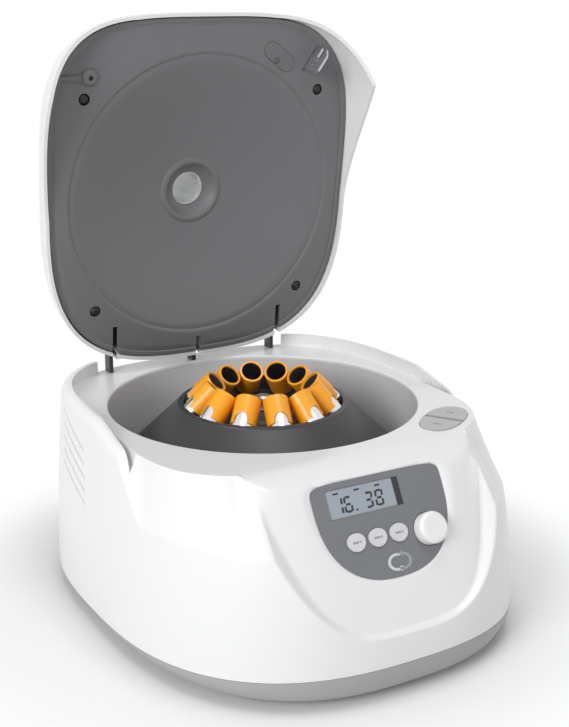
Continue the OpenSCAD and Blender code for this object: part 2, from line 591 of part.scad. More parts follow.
lid_screw_places = [[-98.6, -80.3], [98.6, -80.3], [-90.2, 84], [90.2, 84]];
hook_mid = release_pos;
hook_turn = release_turn;
hook_len = 21;
hook_t = 2;
sight_ring_r = 23.5;
slot_low_y = 99;
boss_r = 4.5;
function dish_z(r) = lining_z + dish_depth * (1 - pow(r / dish_r, 2)) * (1 - 0.35 * pow(r / dish_r, 4));
module lining_outline(inset) polygon([for (i = [0:ring_n - 1])
    let (p = lid_point(i, 1, 0)) lid_point(i, 1, 0.6 * top_flare * sqrt(skirt_share(p[0], p[1])) - inset)]);
module lid_lining() color([0.44, 0.44, 0.46]) opened() difference() {
    union() {
        translate([0, 0, lining_z]) linear_extrude(lining_t) difference() {
            lining_outline(lid_t + 1);
            circle(r = dish_r - 1, $fn = 2 * fine);
        }
        rotate_extrude($fn = 2 * fine) polygon(concat(
            [for (r = [0:0.1:1]) let (q = sight_ring_r + (dish_r - sight_ring_r) * (1 - r)) [q, dish_z(q)]],
            [[sight_ring_r - 7, dish_z(sight_ring_r) + 4], [sight_r + 1, dish_z(sight_ring_r) + 5],
                [sight_r + 1, dish_z(sight_ring_r) + 8]],
            [for (r = [0:0.1:1]) let (q = sight_ring_r + (dish_r + 1.5 - sight_ring_r) * r)
                [q, max(lining_z + lining_t, dish_z(min(q, dish_r)) + lining_t)]]));
    }
    for (x = [-1, 1]) translate([x * hinge_x, (slot_low_y + 140) / 2, lining_z])
        cube([post_t + 1, 140 - slot_low_y, 10], center = true);
    translate([0, 131, lining_z]) cube([post_t + 1, 28, 10], center = true);
    for (s = lid_screw_places) translate([s[0], s[1], lining_z - 1]) cylinder(h = 5, r = 4.4, $fn = 48);
    translate([hook_mid[0], hook_mid[1], lining_z]) rotate(hook_turn) cube([hook_t + 0.6, hook_len + 1, 10], center = true);
    translate([0, 0, lining_z - 1]) lining_cover_outline(0.3, 2);
}
module knuckle() translate([-knuckle_t / 2, hinge_back, 0]) {
    translate([0, 0, hinge_z]) rotate([0, 90, 0]) cylinder(h = knuckle_t, r = boss_r, $fn = 48);
    translate([0, -boss_r, lining_z + lining_t + 0.4]) cube([knuckle_t, 2 * boss_r, hinge_z - lining_z - lining_t - 0.4]);
}
module lining_cover_outline(grow, h) linear_extrude(h) hull() {
    translate([55.5, -112]) circle(r = 6.6 + grow, $fn = 32);
    translate([69, -101.8]) circle(r = 6.6 + grow, $fn = 32);
}
module lining_cover() color([0.46, 0.46, 0.48]) opened() difference() {
    translate([0, 0, lining_z - 0.3]) lining_cover_outline(0, 1.2);
    translate([60, -104, lining_z - 1]) cylinder(h = 4, r = 2.6, $fn = 32);
}
module lid_screws() color([0.25, 0.25, 0.26]) opened() for (s = lid_screw_places)
    translate([s[0], s[1], lining_z + lining_t - 0.1]) rotate([180, 0, 0]) screw(7, 3.4, 1.8);
module sight_tube() color([0.95, 0.95, 0.95]) opened() rotate_extrude($fn = fine) polygon([
    [sight_r, dish_z(sight_ring_r) + 8.2], [sight_r, lid_edge_z + dome_h + 1], [sight_r + 9, lid_edge_z + dome_h + 1],
    [sight_r + 9.5, lid_edge_z + dome_h + 0.2], [sight_r + 5.8, lid_edge_z + dome_h - 0.2],
    [sight_r + 5.8, lid_edge_z + dome_h - 5], [sight_r + 2, lid_edge_z + dome_h - 8],
    [sight_r + 2, dish_z(sight_ring_r) + 8.2]]);
module sight_glass() color([0.85, 0.9, 0.92, 0.4]) opened()
    translate([0, 0, dish_z(sight_ring_r) + 8.4]) cylinder(h = 3, r = sight_r - fit, $fn = fine);

module latch_hook() color([0.6, 0.6, 0.62]) opened() translate([hook_mid[0], hook_mid[1], lining_z])
    rotate(hook_turn) rotate([0, -90, 0]) translate([0, 0, -hook_t / 2]) linear_extrude(hook_t) difference() {
        translate([-20, -hook_len / 2]) square([28, hook_len]);
        translate([-14.5, -hook_len / 2 - 1]) square([6, 9]);
        polygon([[-21, -hook_len / 2 - 1], [-14, -hook_len / 2 - 1], [-21, -hook_len / 2 + 6]]);
        polygon([[-21, hook_len / 2 + 1], [-16, hook_len / 2 + 1], [-21, hook_len / 2 - 4]]);
        for (i = [0:2]) for (j = [0:2]) translate([-4 - 4 * i, -hook_len / 2 + 11 + 3.4 * j]) circle(r = 1, $fn = 24);
    }
bumper_pos = [-94.6, -96];
module lid_bumper() color([0.5, 0.5, 0.52]) opened() {
    translate([bumper_pos[0], bumper_pos[1], lining_z]) rotate([180, 0, 0]) rotate_extrude($fn = 48)
        polygon([[1.8, 0], [7, 0], [5.6, 2.2], [4.2, 3.2], [2.6, 3.4], [1.8, 3.4]]);
}
module hinge_pin(from, to) translate([from, hinge_back, hinge_z]) rotate([0, 90, 0])
    cylinder(h = to - from, r = pin_r, $fn = 48);
module hinge_pins() color([0.75, 0.76, 0.78]) opened() {
    hinge_pin(-hinge_x - 2.4, knuckle_t - hinge_x + 3);
    hinge_pin(hinge_x - knuckle_t - 3, hinge_x + 2.4);
    hinge_pin(-knuckle_x - knuckle_t / 2, knuckle_x + knuckle_t / 2);
}
post_depth = 9.5;
module hinge_posts() color([0.28, 0.28, 0.3]) at_axis() for (x = [-hinge_x, 0, hinge_x]) {
    difference() {
        union() {
            translate([x - post_t / 2, hinge_back - post_depth / 2, deck_z]) cube([post_t, post_depth, hinge_rise - 1.5]);
            translate([x - post_t / 2, hinge_back, hinge_z]) rotate([0, 90, 0]) cylinder(h = post_t, r = post_depth / 2, $fn = 48);
        }
        translate([x - post_t, hinge_back, hinge_z]) rotate([0, 90, 0]) cylinder(h = 2 * post_t, r = pin_r + fit, $fn = 48);
    }
}

module key_outline(grow) polygon([for (i = [0:ring_n - 1]) let (t = i * 360 / ring_n)
    [(key_wide + grow) * cos(t) * (1 + 0.06 * sin(t)), (key_tall + grow) * sin(t)]]);
module control_panel() color([0.53, 0.53, 0.55]) at_axis() on_panel() difference() {
    translate([0, 0, -panel_t]) linear_extrude(panel_t) panel_outline(0);
    translate([lcd_x, lcd_v, -5]) linear_extrude(10) square([lcd_w, lcd_h], center = true);
    for (k = [-1:1]) translate([key_x + k * key_pitch, key_v, -5]) linear_extrude(10) key_outline(key_gap);
    translate([knob_x, knob_v, -5]) cylinder(h = 10, r = 4.5, $fn = fine);
    translate([knob_x, knob_v, -0.8]) cylinder(h = 10, r = knob_r + 0.7, $fn = fine);
}
module display_window() color([0.63, 0.67, 0.7, 0.9]) at_axis() on_panel()
    translate([lcd_x, lcd_v, -panel_t]) linear_extrude(panel_t - 0.4) square([lcd_w - 0.3, lcd_h - 0.3], center = true);
module display_module() color([0.2, 0.35, 0.25]) at_axis() on_panel()
    translate([lcd_x, lcd_v, -panel_t - 5]) linear_extrude(4.9) square([lcd_w + 3, lcd_h + 3], center = true);
board_gap = 5;
board_t = 1.6;
module control_board() color([0.1, 0.35, 0.2]) at_axis() on_panel()
    translate([0, 0, -panel_t - board_gap - board_t - 0.1]) linear_extrude(board_t) difference() {
        translate([-46, -24]) square([92, 54]);
        translate([knob_x, knob_v]) circle(r = 3.6, $fn = fine);
        for (x = [-42, 42]) for (y = [-20, 26]) translate([x, y]) circle(r = 1.6, $fn = 24);
    }
module key(k) color([0.86, 0.86, 0.87]) at_axis() on_panel() translate([key_x + k * key_pitch, key_v, 0]) {
    translate([0, 0, -panel_t + 0.2]) linear_extrude(panel_t + key_proud - 0.5) key_outline(0);
    translate([0, 0, key_proud - 0.31]) linear_extrude(0.31) key_outline(-0.5);
    translate([0, 0, -panel_t - board_gap + key_travel + 0.3]) cylinder(h = board_gap + 1, r = 2, $fn = 32);
}
module key_left() key(-1);
module key_middle() key(0);
module key_right() key(1);
module setting_knob() color([0.93, 0.93, 0.94]) at_axis() on_panel() translate([knob_x, knob_v, 0]) {
    rotate_extrude($fn = fine) polygon(concat([[0, -6], [2.9, -6], [2.9, -0.3], [knob_r, -0.3], [knob_r, knob_h - 3]],
        [for (a = [0:15:90]) [knob_r - 3 + 3 * cos(a), knob_h - 3 + 3 * sin(a)]], [[0, knob_h]]));
}
module knob_encoder() color([0.35, 0.35, 0.37]) at_axis() on_panel() translate([knob_x, knob_v, 0]) difference() {
    union() {
        translate([-6, -6, -panel_t - board_gap]) cube([12, 12, 4]);
        translate([0, 0, -panel_t - board_gap]) cylinder(h = 6, r = 3.5, $fn = fine);
    }
    translate([0, 0, -panel_t - board_gap + 0.7]) cylinder(h = 10, r = 2.95, $fn = fine);
}

cap_t = 4;
module release_half(side) at_axis() translate([0, 0, deck_z + 0.6]) at_release() difference() {
    translate([0, 0, -cap_t]) linear_extrude(cap_t) intersection() {
        release_outline(0);
        translate([side > 0 ? latch_slot / 2 : -60, -40]) square([60 - latch_slot / 2, 80]);
    }
    translate([side * 14, 0, -cap_t - 1]) cylinder(h = 3, r = 3.4, $fn = 32);
}
module release_button_rear() color([0.74, 0.74, 0.75]) release_half(1);
module release_button_front() color([0.74, 0.74, 0.75]) release_half(-1);
frame_t = 2;
frame_z = deck_z - cap_t - release_travel - 11.5;
spring_foot = frame_z + frame_t;
spring_len = deck_z - cap_t + 2.3 - spring_foot;
module release_spring(side) at_axis() at_release() translate([side * 14, 0, spring_foot])
    rotate_extrude($fn = 48) polygon([[2.2, 0], [3, 0], [3, spring_len], [2.2, spring_len]]);
module release_spring_rear() color([0.7, 0.7, 0.72]) release_spring(1);
module release_spring_front() color([0.7, 0.7, 0.72]) release_spring(-1);
frame_posts = [[22, 13], [-24, 10.5]];
module latch_frame() color([0.55, 0.56, 0.58]) at_axis() at_release() translate([0, 0, frame_z]) {
    linear_extrude(frame_t) difference() {
        union() {
            release_outline(-1);
            for (p = frame_posts) translate(p) circle(r = 3.5, $fn = 48);
        }
        square([latch_slot + 1, hook_len + 1.5], center = true);
    }
    for (p = frame_posts) translate([p[0], p[1], frame_t - 0.1])
        cylinder(h = deck_z - shell_t - frame_z - frame_t + 0.05, r = 1.5, $fn = 32);
}
bolt_t = 3;
bolt_y = -7.6;
bolt_z = deck_z - 9.6;
bolt_from = latch_slot / 2 + 0.6;
module latch_bolt() color([0.72, 0.73, 0.75]) at_axis() at_release()
    translate([bolt_from, bolt_y - bolt_t / 2, bolt_z]) cube([13.4, bolt_t, bolt_t]);
module latch_solenoid() color([0.35, 0.3, 0.2]) at_axis() at_release() difference() {
    translate([8, bolt_y - 4.2, spring_foot]) cube([13, 7.4, deck_z - 6.3 - spring_foot]);
    translate([7, bolt_y - bolt_t / 2 - 0.3, bolt_z - 0.3]) cube([12.5, bolt_t + 0.6, bolt_t + 0.6]);
}

module power_board() color([0.1, 0.35, 0.2]) at_axis() translate([half_w - 83.5, 0, floor_z]) difference() {
    union() {
        translate([0, -70, 5]) cube([60, 120, board_t]);
        for (x = [4, 56]) for (y = [-66, 46]) translate([x, y, 0]) cylinder(h = 5, r = 3, $fn = 32);
        translate([8, -50, 5 + board_t]) cube([24, 30, 22]);
        translate([10, 10, 5 + board_t]) cube([16, 26, 14]);
        for (y = [-50, -36, -22]) translate([44, y, 5 + board_t]) cylinder(h = 20, r = 5.5, $fn = fine);
    }
    for (x = [4, 56]) for (y = [-66, 46]) translate([x, y, -1]) cylinder(h = 10, r = 1.5, $fn = 24);
}
module power_inlet() color([0.13, 0.13, 0.14]) at_axis() translate([inlet_x, 0, inlet_z]) {
    back = port_y + 0.1;
    difference() {
        union() {
            translate([-inlet_w / 2 + 0.2, back - 22, -inlet_h / 2 + 0.2]) cube([inlet_w - 0.4, 22, inlet_h - 0.4]);
            translate([-inlet_w / 2 - 3, back - 0.05, -inlet_h / 2 - 3]) cube([inlet_w + 6, 2, inlet_h + 6]);
        }
        translate([-inlet_w / 2 + 2.2, back - 16, -inlet_h / 2 + 2]) cube([inlet_w - 4.4, 30, inlet_h - 4]);
    }
}
module inlet_pins() color([0.75, 0.72, 0.6]) at_axis() translate([inlet_x, port_y - 15.9, inlet_z])
    for (p = [[-7, -2], [0, 2.4], [7, -2]]) translate([p[0] - 1, 0, p[1] - 2]) cube([2, 13, 4]);
module power_switch() color([0.12, 0.12, 0.13]) at_axis() translate([switch_x, port_y + 0.1, inlet_z]) difference() {
    union() {
        translate([-switch_w / 2 + 0.2, -18, -switch_h / 2 + 0.2]) cube([switch_w - 0.4, 19, switch_h - 0.4]);
        translate([-switch_w / 2 - 2, 0, -switch_h / 2 - 2]) cube([switch_w + 4, 2, switch_h + 4]);
    }
    translate([-switch_w / 2 + 1.6, -8, -switch_h / 2 + 1.6]) cube([switch_w - 3.2, 20, switch_h - 3.2]);
}
rocker_tilt = 7;
module switch_rocker() color([0.1, 0.1, 0.11]) at_axis() translate([switch_x, port_y, inlet_z])
    rotate([-rocker_tilt, 0, 0]) rotate([0, 90, 0]) {
        linear_extrude(switch_w - 4, center = true)
            polygon([[-7.4, 3], [0, 2], [7.4, 3], [7.2, -2], [0, -4], [-7.2, -2]]);
        cylinder(h = switch_w - 3.4, r = 1.5, center = true, $fn = 48);
    }

base_pan();
rubber_feet();
pan_screws();
upper_housing();
rotor_bowl();
bowl_screws();
shaft_seal();
motor_dampers();
motor_plate();
motor_can();
motor_cover();
motor_bearings();
motor_armature();
drive_shaft();
rotor();
tube_shields();
tube_sleeves();
rotor_nut();
lid_shell();
lid_lining();
lid_screws();
sight_tube();
sight_glass();
lining_cover();
latch_hook();
lid_bumper();
hinge_pins();
hinge_posts();
control_panel();
display_window();
display_module();
control_board();
key_left();
key_middle();
key_right();
setting_knob();
knob_encoder();
release_button_rear();
release_button_front();
release_spring_rear();
release_spring_front();
latch_frame();
latch_bolt();
latch_solenoid();
power_board();
power_inlet();
inlet_pins();
power_switch();
switch_rocker();
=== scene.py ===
import json
import math

import bmesh
import bpy
import numpy as np
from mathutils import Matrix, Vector


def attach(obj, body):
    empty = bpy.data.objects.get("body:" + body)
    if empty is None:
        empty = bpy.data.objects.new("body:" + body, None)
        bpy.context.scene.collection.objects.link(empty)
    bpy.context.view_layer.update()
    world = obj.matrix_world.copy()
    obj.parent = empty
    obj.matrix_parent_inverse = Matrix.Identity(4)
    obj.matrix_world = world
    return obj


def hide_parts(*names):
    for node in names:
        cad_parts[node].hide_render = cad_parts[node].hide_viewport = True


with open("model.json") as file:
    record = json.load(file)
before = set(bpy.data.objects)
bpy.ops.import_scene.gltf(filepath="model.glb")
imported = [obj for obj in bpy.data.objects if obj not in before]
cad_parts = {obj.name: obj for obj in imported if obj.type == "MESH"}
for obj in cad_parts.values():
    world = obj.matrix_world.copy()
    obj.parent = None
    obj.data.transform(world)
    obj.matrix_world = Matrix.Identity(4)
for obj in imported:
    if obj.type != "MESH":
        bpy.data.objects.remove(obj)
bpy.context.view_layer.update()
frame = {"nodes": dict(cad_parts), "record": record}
print("stage: frame loaded")

mm = 0.001
axisY = 14.1  # the rotor axis stands this far behind the origin; the shapes below are in mm round it


def clamp(v, low=0.0, high=1.0):
    return np.minimum(high, np.maximum(low, v))


def softStep(v):
    return v * v * (3 - 2 * v)


def signedPower(v, p):
    return np.sign(v) * np.abs(v) ** p


def softMin(a, b, k):
    h = clamp(0.5 + 0.5 * (b - a) / k)
    return b * (1 - h) + a * h - k * h * (1 - h)


def softMax(a, b, k):
    return -softMin(-a, -b, k)


def planPoint(t, w, f, r, mid, pf, pr):
    s = np.sin(t)
    p = np.where(s < 0, 2 / pf, 2 / pr)
    return w * signedPower(np.cos(t), p), mid + np.where(s < 0, f, r) * signedPower(s, p)


def evenColumns(outline, count, weight=None):
    t = np.linspace(0, 2 * math.pi, 20001)  # turns spread evenly along the outline
    x, y = outline(t)
    step = np.hypot(np.diff(x), np.diff(y))
    if weight is not None:
        step = step * weight(0.5 * (x[1:] + x[:-1]), 0.5 * (y[1:] + y[:-1]))
    run = np.concatenate([[0], np.cumsum(step)])
    return np.interp(np.arange(count) / count * run[-1], run, t)


def makeObject(name, verts, faces):
    mesh = bpy.data.meshes.new(name)
    scaled = (np.asarray(verts, dtype=float) + [0, axisY, 0]) * mm
    mesh.from_pydata(scaled.tolist(), [], faces)
    mesh.validate()
    obj = bpy.data.objects.new(name, mesh)
    bpy.context.scene.collection.objects.link(obj)
    return obj


def fixNormals(obj):
    bm = bmesh.new()
    bm.from_mesh(obj.data)
    bmesh.ops.recalc_face_normals(bm, faces=bm.faces)
    bm.to_mesh(obj.data)
    bm.free()


# skins a stack of closed rings; caps close the mesh for the cuts and are taken away afterwards
def gridObject(name, rows, loop=False, caps=False):
    rows = np.asarray(rows)
    count, columns = rows.shape[:2]
    verts = rows.reshape(-1, 3)
    k = np.arange(count if loop else count - 1)[:, None] * columns
    up = (k + columns) % (count * columns)
    i = np.arange(columns)[None, :]
    j = (i + 1) % columns
    faces = np.stack([k + i, k + j, up + j, up + i], axis=-1).reshape(-1, 4).tolist()
    capFaces = []
    if caps:
        verts = np.concatenate([verts, rows[0].mean(axis=0)[None], rows[-1].mean(axis=0)[None]])
        low, high = count * columns, count * columns + 1
        top = (count - 1) * columns
        capFaces = [[a, (a + 1) % columns, low] for a in range(columns)]
        capFaces += [[top + (a + 1) % columns, top + a, high] for a in range(columns)]
    obj = makeObject(name, verts, faces + capFaces)
    for p in obj.data.polygons[len(faces):]:
        p.material_index = 1
    fixNormals(obj)
    return obj


boxFaces = [[0, 3, 2, 1], [4, 5, 6, 7], [0, 1, 5, 4], [1, 2, 6, 5], [2, 3, 7, 6], [3, 0, 4, 7]]


class Parts:
    def __init__(self):
        self.verts, self.faces = [], []

    def add(self, verts, faces, move=None):
        verts = np.asarray(verts, dtype=float)
        if move is not None:
            verts = move(verts)
        base = len(self.verts)
        self.verts += verts.tolist()
        self.faces += [[base + i for i in f] for f in faces]
        return self

    def box(self, low, high, move=None):
        ring = [(low[0], low[1]), (high[0], low[1]), (high[0], high[1]), (low[0], high[1])]
        return self.add([(x, y, z) for z in (low[2], high[2]) for x, y in ring], boxFaces, move)

    def prism(self, outline, low, high, move=None):
        n = len(outline)
        verts = [(x, y, low) for x, y in outline] + [(x, y, high) for x, y in outline]
        faces = [list(range(n))[::-1], list(range(n, 2 * n))]
        faces += [[i, (i + 1) % n, n + (i + 1) % n, n + i] for i in range(n)]
        return self.add(verts, faces, move)

    def rod(self, centre, axis, radius, low, high, sides=48, move=None):
        ring = [(radius * math.cos(a), radius * math.sin(a)) for a in np.arange(sides) * 2 * math.pi / sides]
        order = {"x": [2, 0, 1], "z": [0, 1, 2]}[axis]

        def place(p):
            p = p[:, order] + np.asarray(centre)
            return move(p) if move else p

        return self.prism(ring, low, high, place)

    def build(self, name):
        obj = makeObject(name, self.verts, self.faces)
        fixNormals(obj)
        return obj


def cutAway(obj, *cutters):
    for cutter in cutters:
        mod = obj.modifiers.new("cut", "BOOLEAN")
        mod.operation, mod.solver, mod.object = "DIFFERENCE", "EXACT", cutter
    graph = bpy.context.evaluated_depsgraph_get()
    mesh = bpy.data.meshes.new_from_object(obj.evaluated_get(graph))
    obj.modifiers.clear()
    obj.data = mesh
    for cutter in cutters:
        bpy.data.objects.remove(cutter)


def dropCaps(obj):
    bm = bmesh.new()
    bm.from_mesh(obj.data)
    bmesh.ops.delete(bm, geom=[f for f in bm.faces if f.material_index == 1], context="FACES")
    bm.to_mesh(obj.data)
    bm.free()


def smooth(mesh, angle):
    mesh.polygons.foreach_set("use_smooth", [True] * len(mesh.polygons))
    mesh.set_sharp_from_angle(angle=math.radians(angle))
    mesh.update()


def newGroup(name, inputs, outputs):
    group = bpy.data.node_groups.new(name, "ShaderNodeTree")
    for label, kind, value in inputs:
        group.interface.new_socket(label, in_out="INPUT", socket_type=kind).default_value = value
    for label, kind in outputs:
        group.interface.new_socket(label, in_out="OUTPUT", socket_type=kind)
    return group, group.nodes.new("NodeGroupInput"), group.nodes.new("NodeGroupOutput")


# moulded plastic or paint: slow changes of tone and gloss, and a fine grain
def moulding():
    group, take, give = newGroup("moulding", [
        ("Colour", "NodeSocketColor", (0.8, 0.8, 0.8, 1)), ("Variation", "NodeSocketFloat", 0.04),
        ("Grain", "NodeSocketFloat", 900.0), ("Relief", "NodeSocketFloat", 0.05),
        ("Roughness", "NodeSocketFloat", 0.4),
    ], [("Colour", "NodeSocketColor"), ("Roughness", "NodeSocketFloat"), ("Normal", "NodeSocketVector")])
    nodes, link = group.nodes, group.links.new
    place = nodes.new("ShaderNodeTexCoord")
    cloud = nodes.new("ShaderNodeTexNoise")
    cloud.inputs["Scale"].default_value = 14
    cloud.inputs["Detail"].default_value = 3
    fine = nodes.new("ShaderNodeTexNoise")
    fine.inputs["Detail"].default_value = 2
    link(place.outputs["Object"], cloud.inputs["Vector"])
    link(place.outputs["Object"], fine.inputs["Vector"])
    link(take.outputs["Grain"], fine.inputs["Scale"])
    spread = nodes.new("ShaderNodeMath")
    spread.operation = "MULTIPLY_ADD"
    link(cloud.outputs["Fac"], spread.inputs[0])
    link(take.outputs["Variation"], spread.inputs[1])
    spread.inputs[2].default_value = 1.0
    tint = nodes.new("ShaderNodeVectorMath")
    tint.operation = "SCALE"
    link(take.outputs["Colour"], tint.inputs[0])
    link(spread.outputs[0], tint.inputs["Scale"])
    link(tint.outputs[0], give.inputs["Colour"])
    rough = nodes.new("ShaderNodeMath")
    rough.operation = "MULTIPLY"
    link(take.outputs["Roughness"], rough.inputs[0])
    link(spread.outputs[0], rough.inputs[1])
    link(rough.outputs[0], give.inputs["Roughness"])
    bump = nodes.new("ShaderNodeBump")
    bump.inputs["Distance"].default_value = 0.0004
    link(take.outputs["Relief"], bump.inputs["Strength"])
    link(fine.outputs["Fac"], bump.inputs["Height"])
    link(bump.outputs["Normal"], give.inputs["Normal"])
    return group


# drawn or turned metal: fine lines along the direction that the stretch leaves long
def brushing():
    group, take, give = newGroup("brushing", [
        ("Stretch", "NodeSocketVector", (30.0, 30.0, 1800.0)), ("Relief", "NodeSocketFloat", 0.1),
        ("Roughness", "NodeSocketFloat", 0.3),
    ], [("Roughness", "NodeSocketFloat"), ("Normal", "NodeSocketVector")])
    nodes, link = group.nodes, group.links.new
    place = nodes.new("ShaderNodeTexCoord")
    scale = nodes.new("ShaderNodeVectorMath")
    scale.operation = "MULTIPLY"
    lines = nodes.new("ShaderNodeTexNoise")
    lines.inputs["Scale"].default_value = 1.0
    lines.inputs["Detail"].default_value = 4
    link(place.outputs["Object"], scale.inputs[0])
    link(take.outputs["Stretch"], scale.inputs[1])
    link(scale.outputs[0], lines.inputs["Vector"])
    rough = nodes.new("ShaderNodeMath")
    rough.operation = "MULTIPLY_ADD"
    link(lines.outputs["Fac"], rough.inputs[0])
    rough.inputs[1].default_value = 0.15
    link(take.outputs["Roughness"], rough.inputs[2])
    link(rough.outputs[0], give.inputs["Roughness"])
    bump = nodes.new("ShaderNodeBump")
    bump.inputs["Distance"].default_value = 0.0002
    link(take.outputs["Relief"], bump.inputs["Strength"])
    link(lines.outputs["Fac"], bump.inputs["Height"])
    link(bump.outputs["Normal"], give.inputs["Normal"])
    return group


mouldingGroup, brushingGroup = moulding(), brushing()


def newMaterial(name, group):
    mat = bpy.data.materials.new(name)
    mat.use_nodes = True
    effect = mat.node_tree.nodes.new("ShaderNodeGroup")
    effect.node_tree = group
    shader = mat.node_tree.nodes["Principled BSDF"]
    mat.node_tree.links.new(effect.outputs["Roughness"], shader.inputs["Roughness"])
    mat.node_tree.links.new(effect.outputs["Normal"], shader.inputs["Normal"])
    return mat, shader, effect


def plastic(name, colour, rough, grain, relief, variation=0.04, metallic=0.0, coat=0.0):
    mat, shader, effect = newMaterial(name, mouldingGroup)
    for label, value in (("Colour", (*colour, 1)), ("Variation", variation), ("Grain", grain),
                         ("Relief", relief), ("Roughness", rough)):
        effect.inputs[label].default_value = value
    mat.node_tree.links.new(effect.outputs["Colour"], shader.inputs["Base Color"])
    shader.inputs["Metallic"].default_value = metallic
    shader.inputs["Coat Weight"].default_value = coat
    shader.inputs["Coat Roughness"].default_value = 0.12
    return mat


def metal(name, colour, rough, stretch):
    mat, shader, effect = newMaterial(name, brushingGroup)
    for label, value in (("Stretch", stretch), ("Relief", 0.1), ("Roughness", rough)):
        effect.inputs[label].default_value = value
    shader.inputs["Base Color"].default_value = (*colour, 1)
    shader.inputs["Metallic"].default_value = 1.0
    return mat


plastics = {  # colour, roughness, grain, relief, variation, share of metal, clear coat
    "white_housing": ((0.78, 0.785, 0.79), 0.33, 700, 0.03, 0.02, 0.0, 0.25),
    "grey_tray": ((0.36, 0.36, 0.37), 0.45, 1200, 0.08),
    "foot_rubber": ((0.03, 0.03, 0.032), 0.8, 1500, 0.2),
    "bowl_steel": ((0.7, 0.7, 0.7), 0.34, 500, 0.04, 0.03, 0.0, 0.1),
    "seal_rubber": ((0.02, 0.02, 0.022), 0.7, 1500, 0.2),
    "motor_paint": ((0.05, 0.052, 0.056), 0.45, 900, 0.1),
    "cast_cover": ((0.45, 0.46, 0.48), 0.5, 600, 0.3, 0.04, 0.9),
    "rotor_aluminium": ((0.04, 0.041, 0.043), 0.42, 1600, 0.12, 0.06, 0.25),
    "orange_plastic": ((0.93, 0.37, 0.006), 0.34, 900, 0.05, 0.06, 0.0, 0.25),
    "lining_grey": ((0.15, 0.15, 0.158), 0.5, 1400, 0.14, 0.05),
    "cover_grey": ((0.14, 0.14, 0.148), 0.45, 1400, 0.12),
    "dark_screw": ((0.03, 0.03, 0.032), 0.4, 900, 0.1, 0.04, 0.6),
    "post_steel": ((0.045, 0.045, 0.05), 0.4, 900, 0.08, 0.04, 0.3),
    "panel_grey": ((0.17, 0.176, 0.188), 0.42, 1700, 0.06, 0.03),
    "board_green": ((0.02, 0.12, 0.05), 0.4, 800, 0.05),
    "key_grey": ((0.62, 0.625, 0.64), 0.4, 1300, 0.06),
    "knob_white": ((0.8, 0.8, 0.805), 0.3, 900, 0.03, 0.04, 0.0, 0.2),
    "dark_plastic": ((0.02, 0.02, 0.022), 0.45, 1200, 0.1),
    "button_grey": ((0.44, 0.445, 0.45), 0.42, 1300, 0.07),
    "winding_copper": ((0.42, 0.2, 0.08), 0.35, 700, 0.2, 0.04, 0.8),
    "display_face": ((0.3, 0.345, 0.39), 0.16, 300, 0.01, 0.02, 0.0, 0.6),
}
metals = {  # colour, roughness, stretch of the brushed lines
    "screw_steel": ((0.6, 0.6, 0.62), 0.3, (400, 400, 400)),
    "plate_steel": ((0.5, 0.51, 0.53), 0.35, (600, 30, 600)),
    "bearing_steel": ((0.75, 0.76, 0.78), 0.15, (1500, 40, 40)),
    "shaft_steel": ((0.7, 0.71, 0.73), 0.2, (40, 40, 1500)),
    "shield_steel": ((0.72, 0.74, 0.77), 0.16, (60, 60, 700)),
    "nut_steel": ((0.62, 0.63, 0.65), 0.25, (50, 50, 1200)),
    "spring_steel": ((0.6, 0.6, 0.62), 0.25, (40, 40, 1800)),
    "pin_brass": ((0.75, 0.6, 0.3), 0.25, (700, 60, 700)),
}
finish = {name: plastic(name, *values) for name, values in plastics.items()}
finish.update({name: metal(name, *values) for name, values in metals.items()})
printDark = plastic("printDark", (0.02, 0.022, 0.028), 0.35, 900, 0.02)
printPale = plastic("printPale", (0.6, 0.61, 0.64), 0.4, 900, 0.02)
printGrey = plastic("printGrey", (0.3, 0.31, 0.33), 0.4, 900, 0.02)

clear = bpy.data.materials.new("clear_window")
clear.use_nodes = True
for label, value in (("Base Color", (0.98, 0.99, 1.0, 1)), ("Roughness", 0.02), ("IOR", 1.3),
                     ("Transmission Weight", 1.0)):
    clear.node_tree.nodes["Principled BSDF"].inputs[label].default_value = value
finish["clear_window"] = clear
print("stage: finishes")


def dress(obj, slotName, bodyName, *nodes):
    obj.data.materials.clear()
    obj.data.materials.append(finish[slotName])
    smooth(obj.data, 32)
    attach(obj, bodyName)
    if nodes:
        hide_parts(*nodes)


def mark(obj, material, bodyName):
    obj.data.materials.append(material)
    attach(obj, bodyName)


body = {
    "halfWidth": 147.5, "front": 185.0, "rear": 167.0, "mid": -19.0, "frontPower": 2.6, "rearPower": 3.2,
    "widest": 18.0, "rim": 143.0, "deck": 144.5, "wallTop": 154.5,
    "sideLean": 7.2, "noseLean": 35.0, "rearLean": 5.0,  # how far the walls draw in on the way up
    "notch": -55.0, "notchRun": 49.0, "earX": 90.0, "earY": 88.0,  # where the raised wall ends
    "round": 7.0, "shoulder": 42.0, "leanFrom": -48.0, "leanRun": 30.0,  # edge behind, leaning flank ahead
    "bowl": 116.0, "bowlEdge": 1.2, "columns": 1060, "rows": 80,
}
seam = {"low": 12.0, "from": 48.0, "rise": 4700.0, "gap": 0.3}
lid = {
    "halfWidth": 130.0, "front": 140.8, "rear": 133.0, "frontPower": 3.8, "rearPower": 3.0,
    "edge": 146.2, "dome": 80.0, "wall": 2.5, "skirt": 26.0, "flare": 6.0, "topFlare": 4.0,
    "skirtFrom": -139.0, "skirtTip": -82.0, "skirtTo": 8.0, "skirtIn": 60.0, "skirtPower": 1.7,
    "open": 83.5, "hingeY": 123.3, "hingeZ": 162.7, "tube": 18.6,
}
seat = {
    "front": 141.0, "edge": -3.2, "outer": 1.2, "inner": -3.5, "above": 40.0, "end": -62.0, "lift": 60.0,
    "fadeY": -143.0, "fadeRunY": 14.0, "fadeX": 78.0, "fadeRunX": 16.0,
}


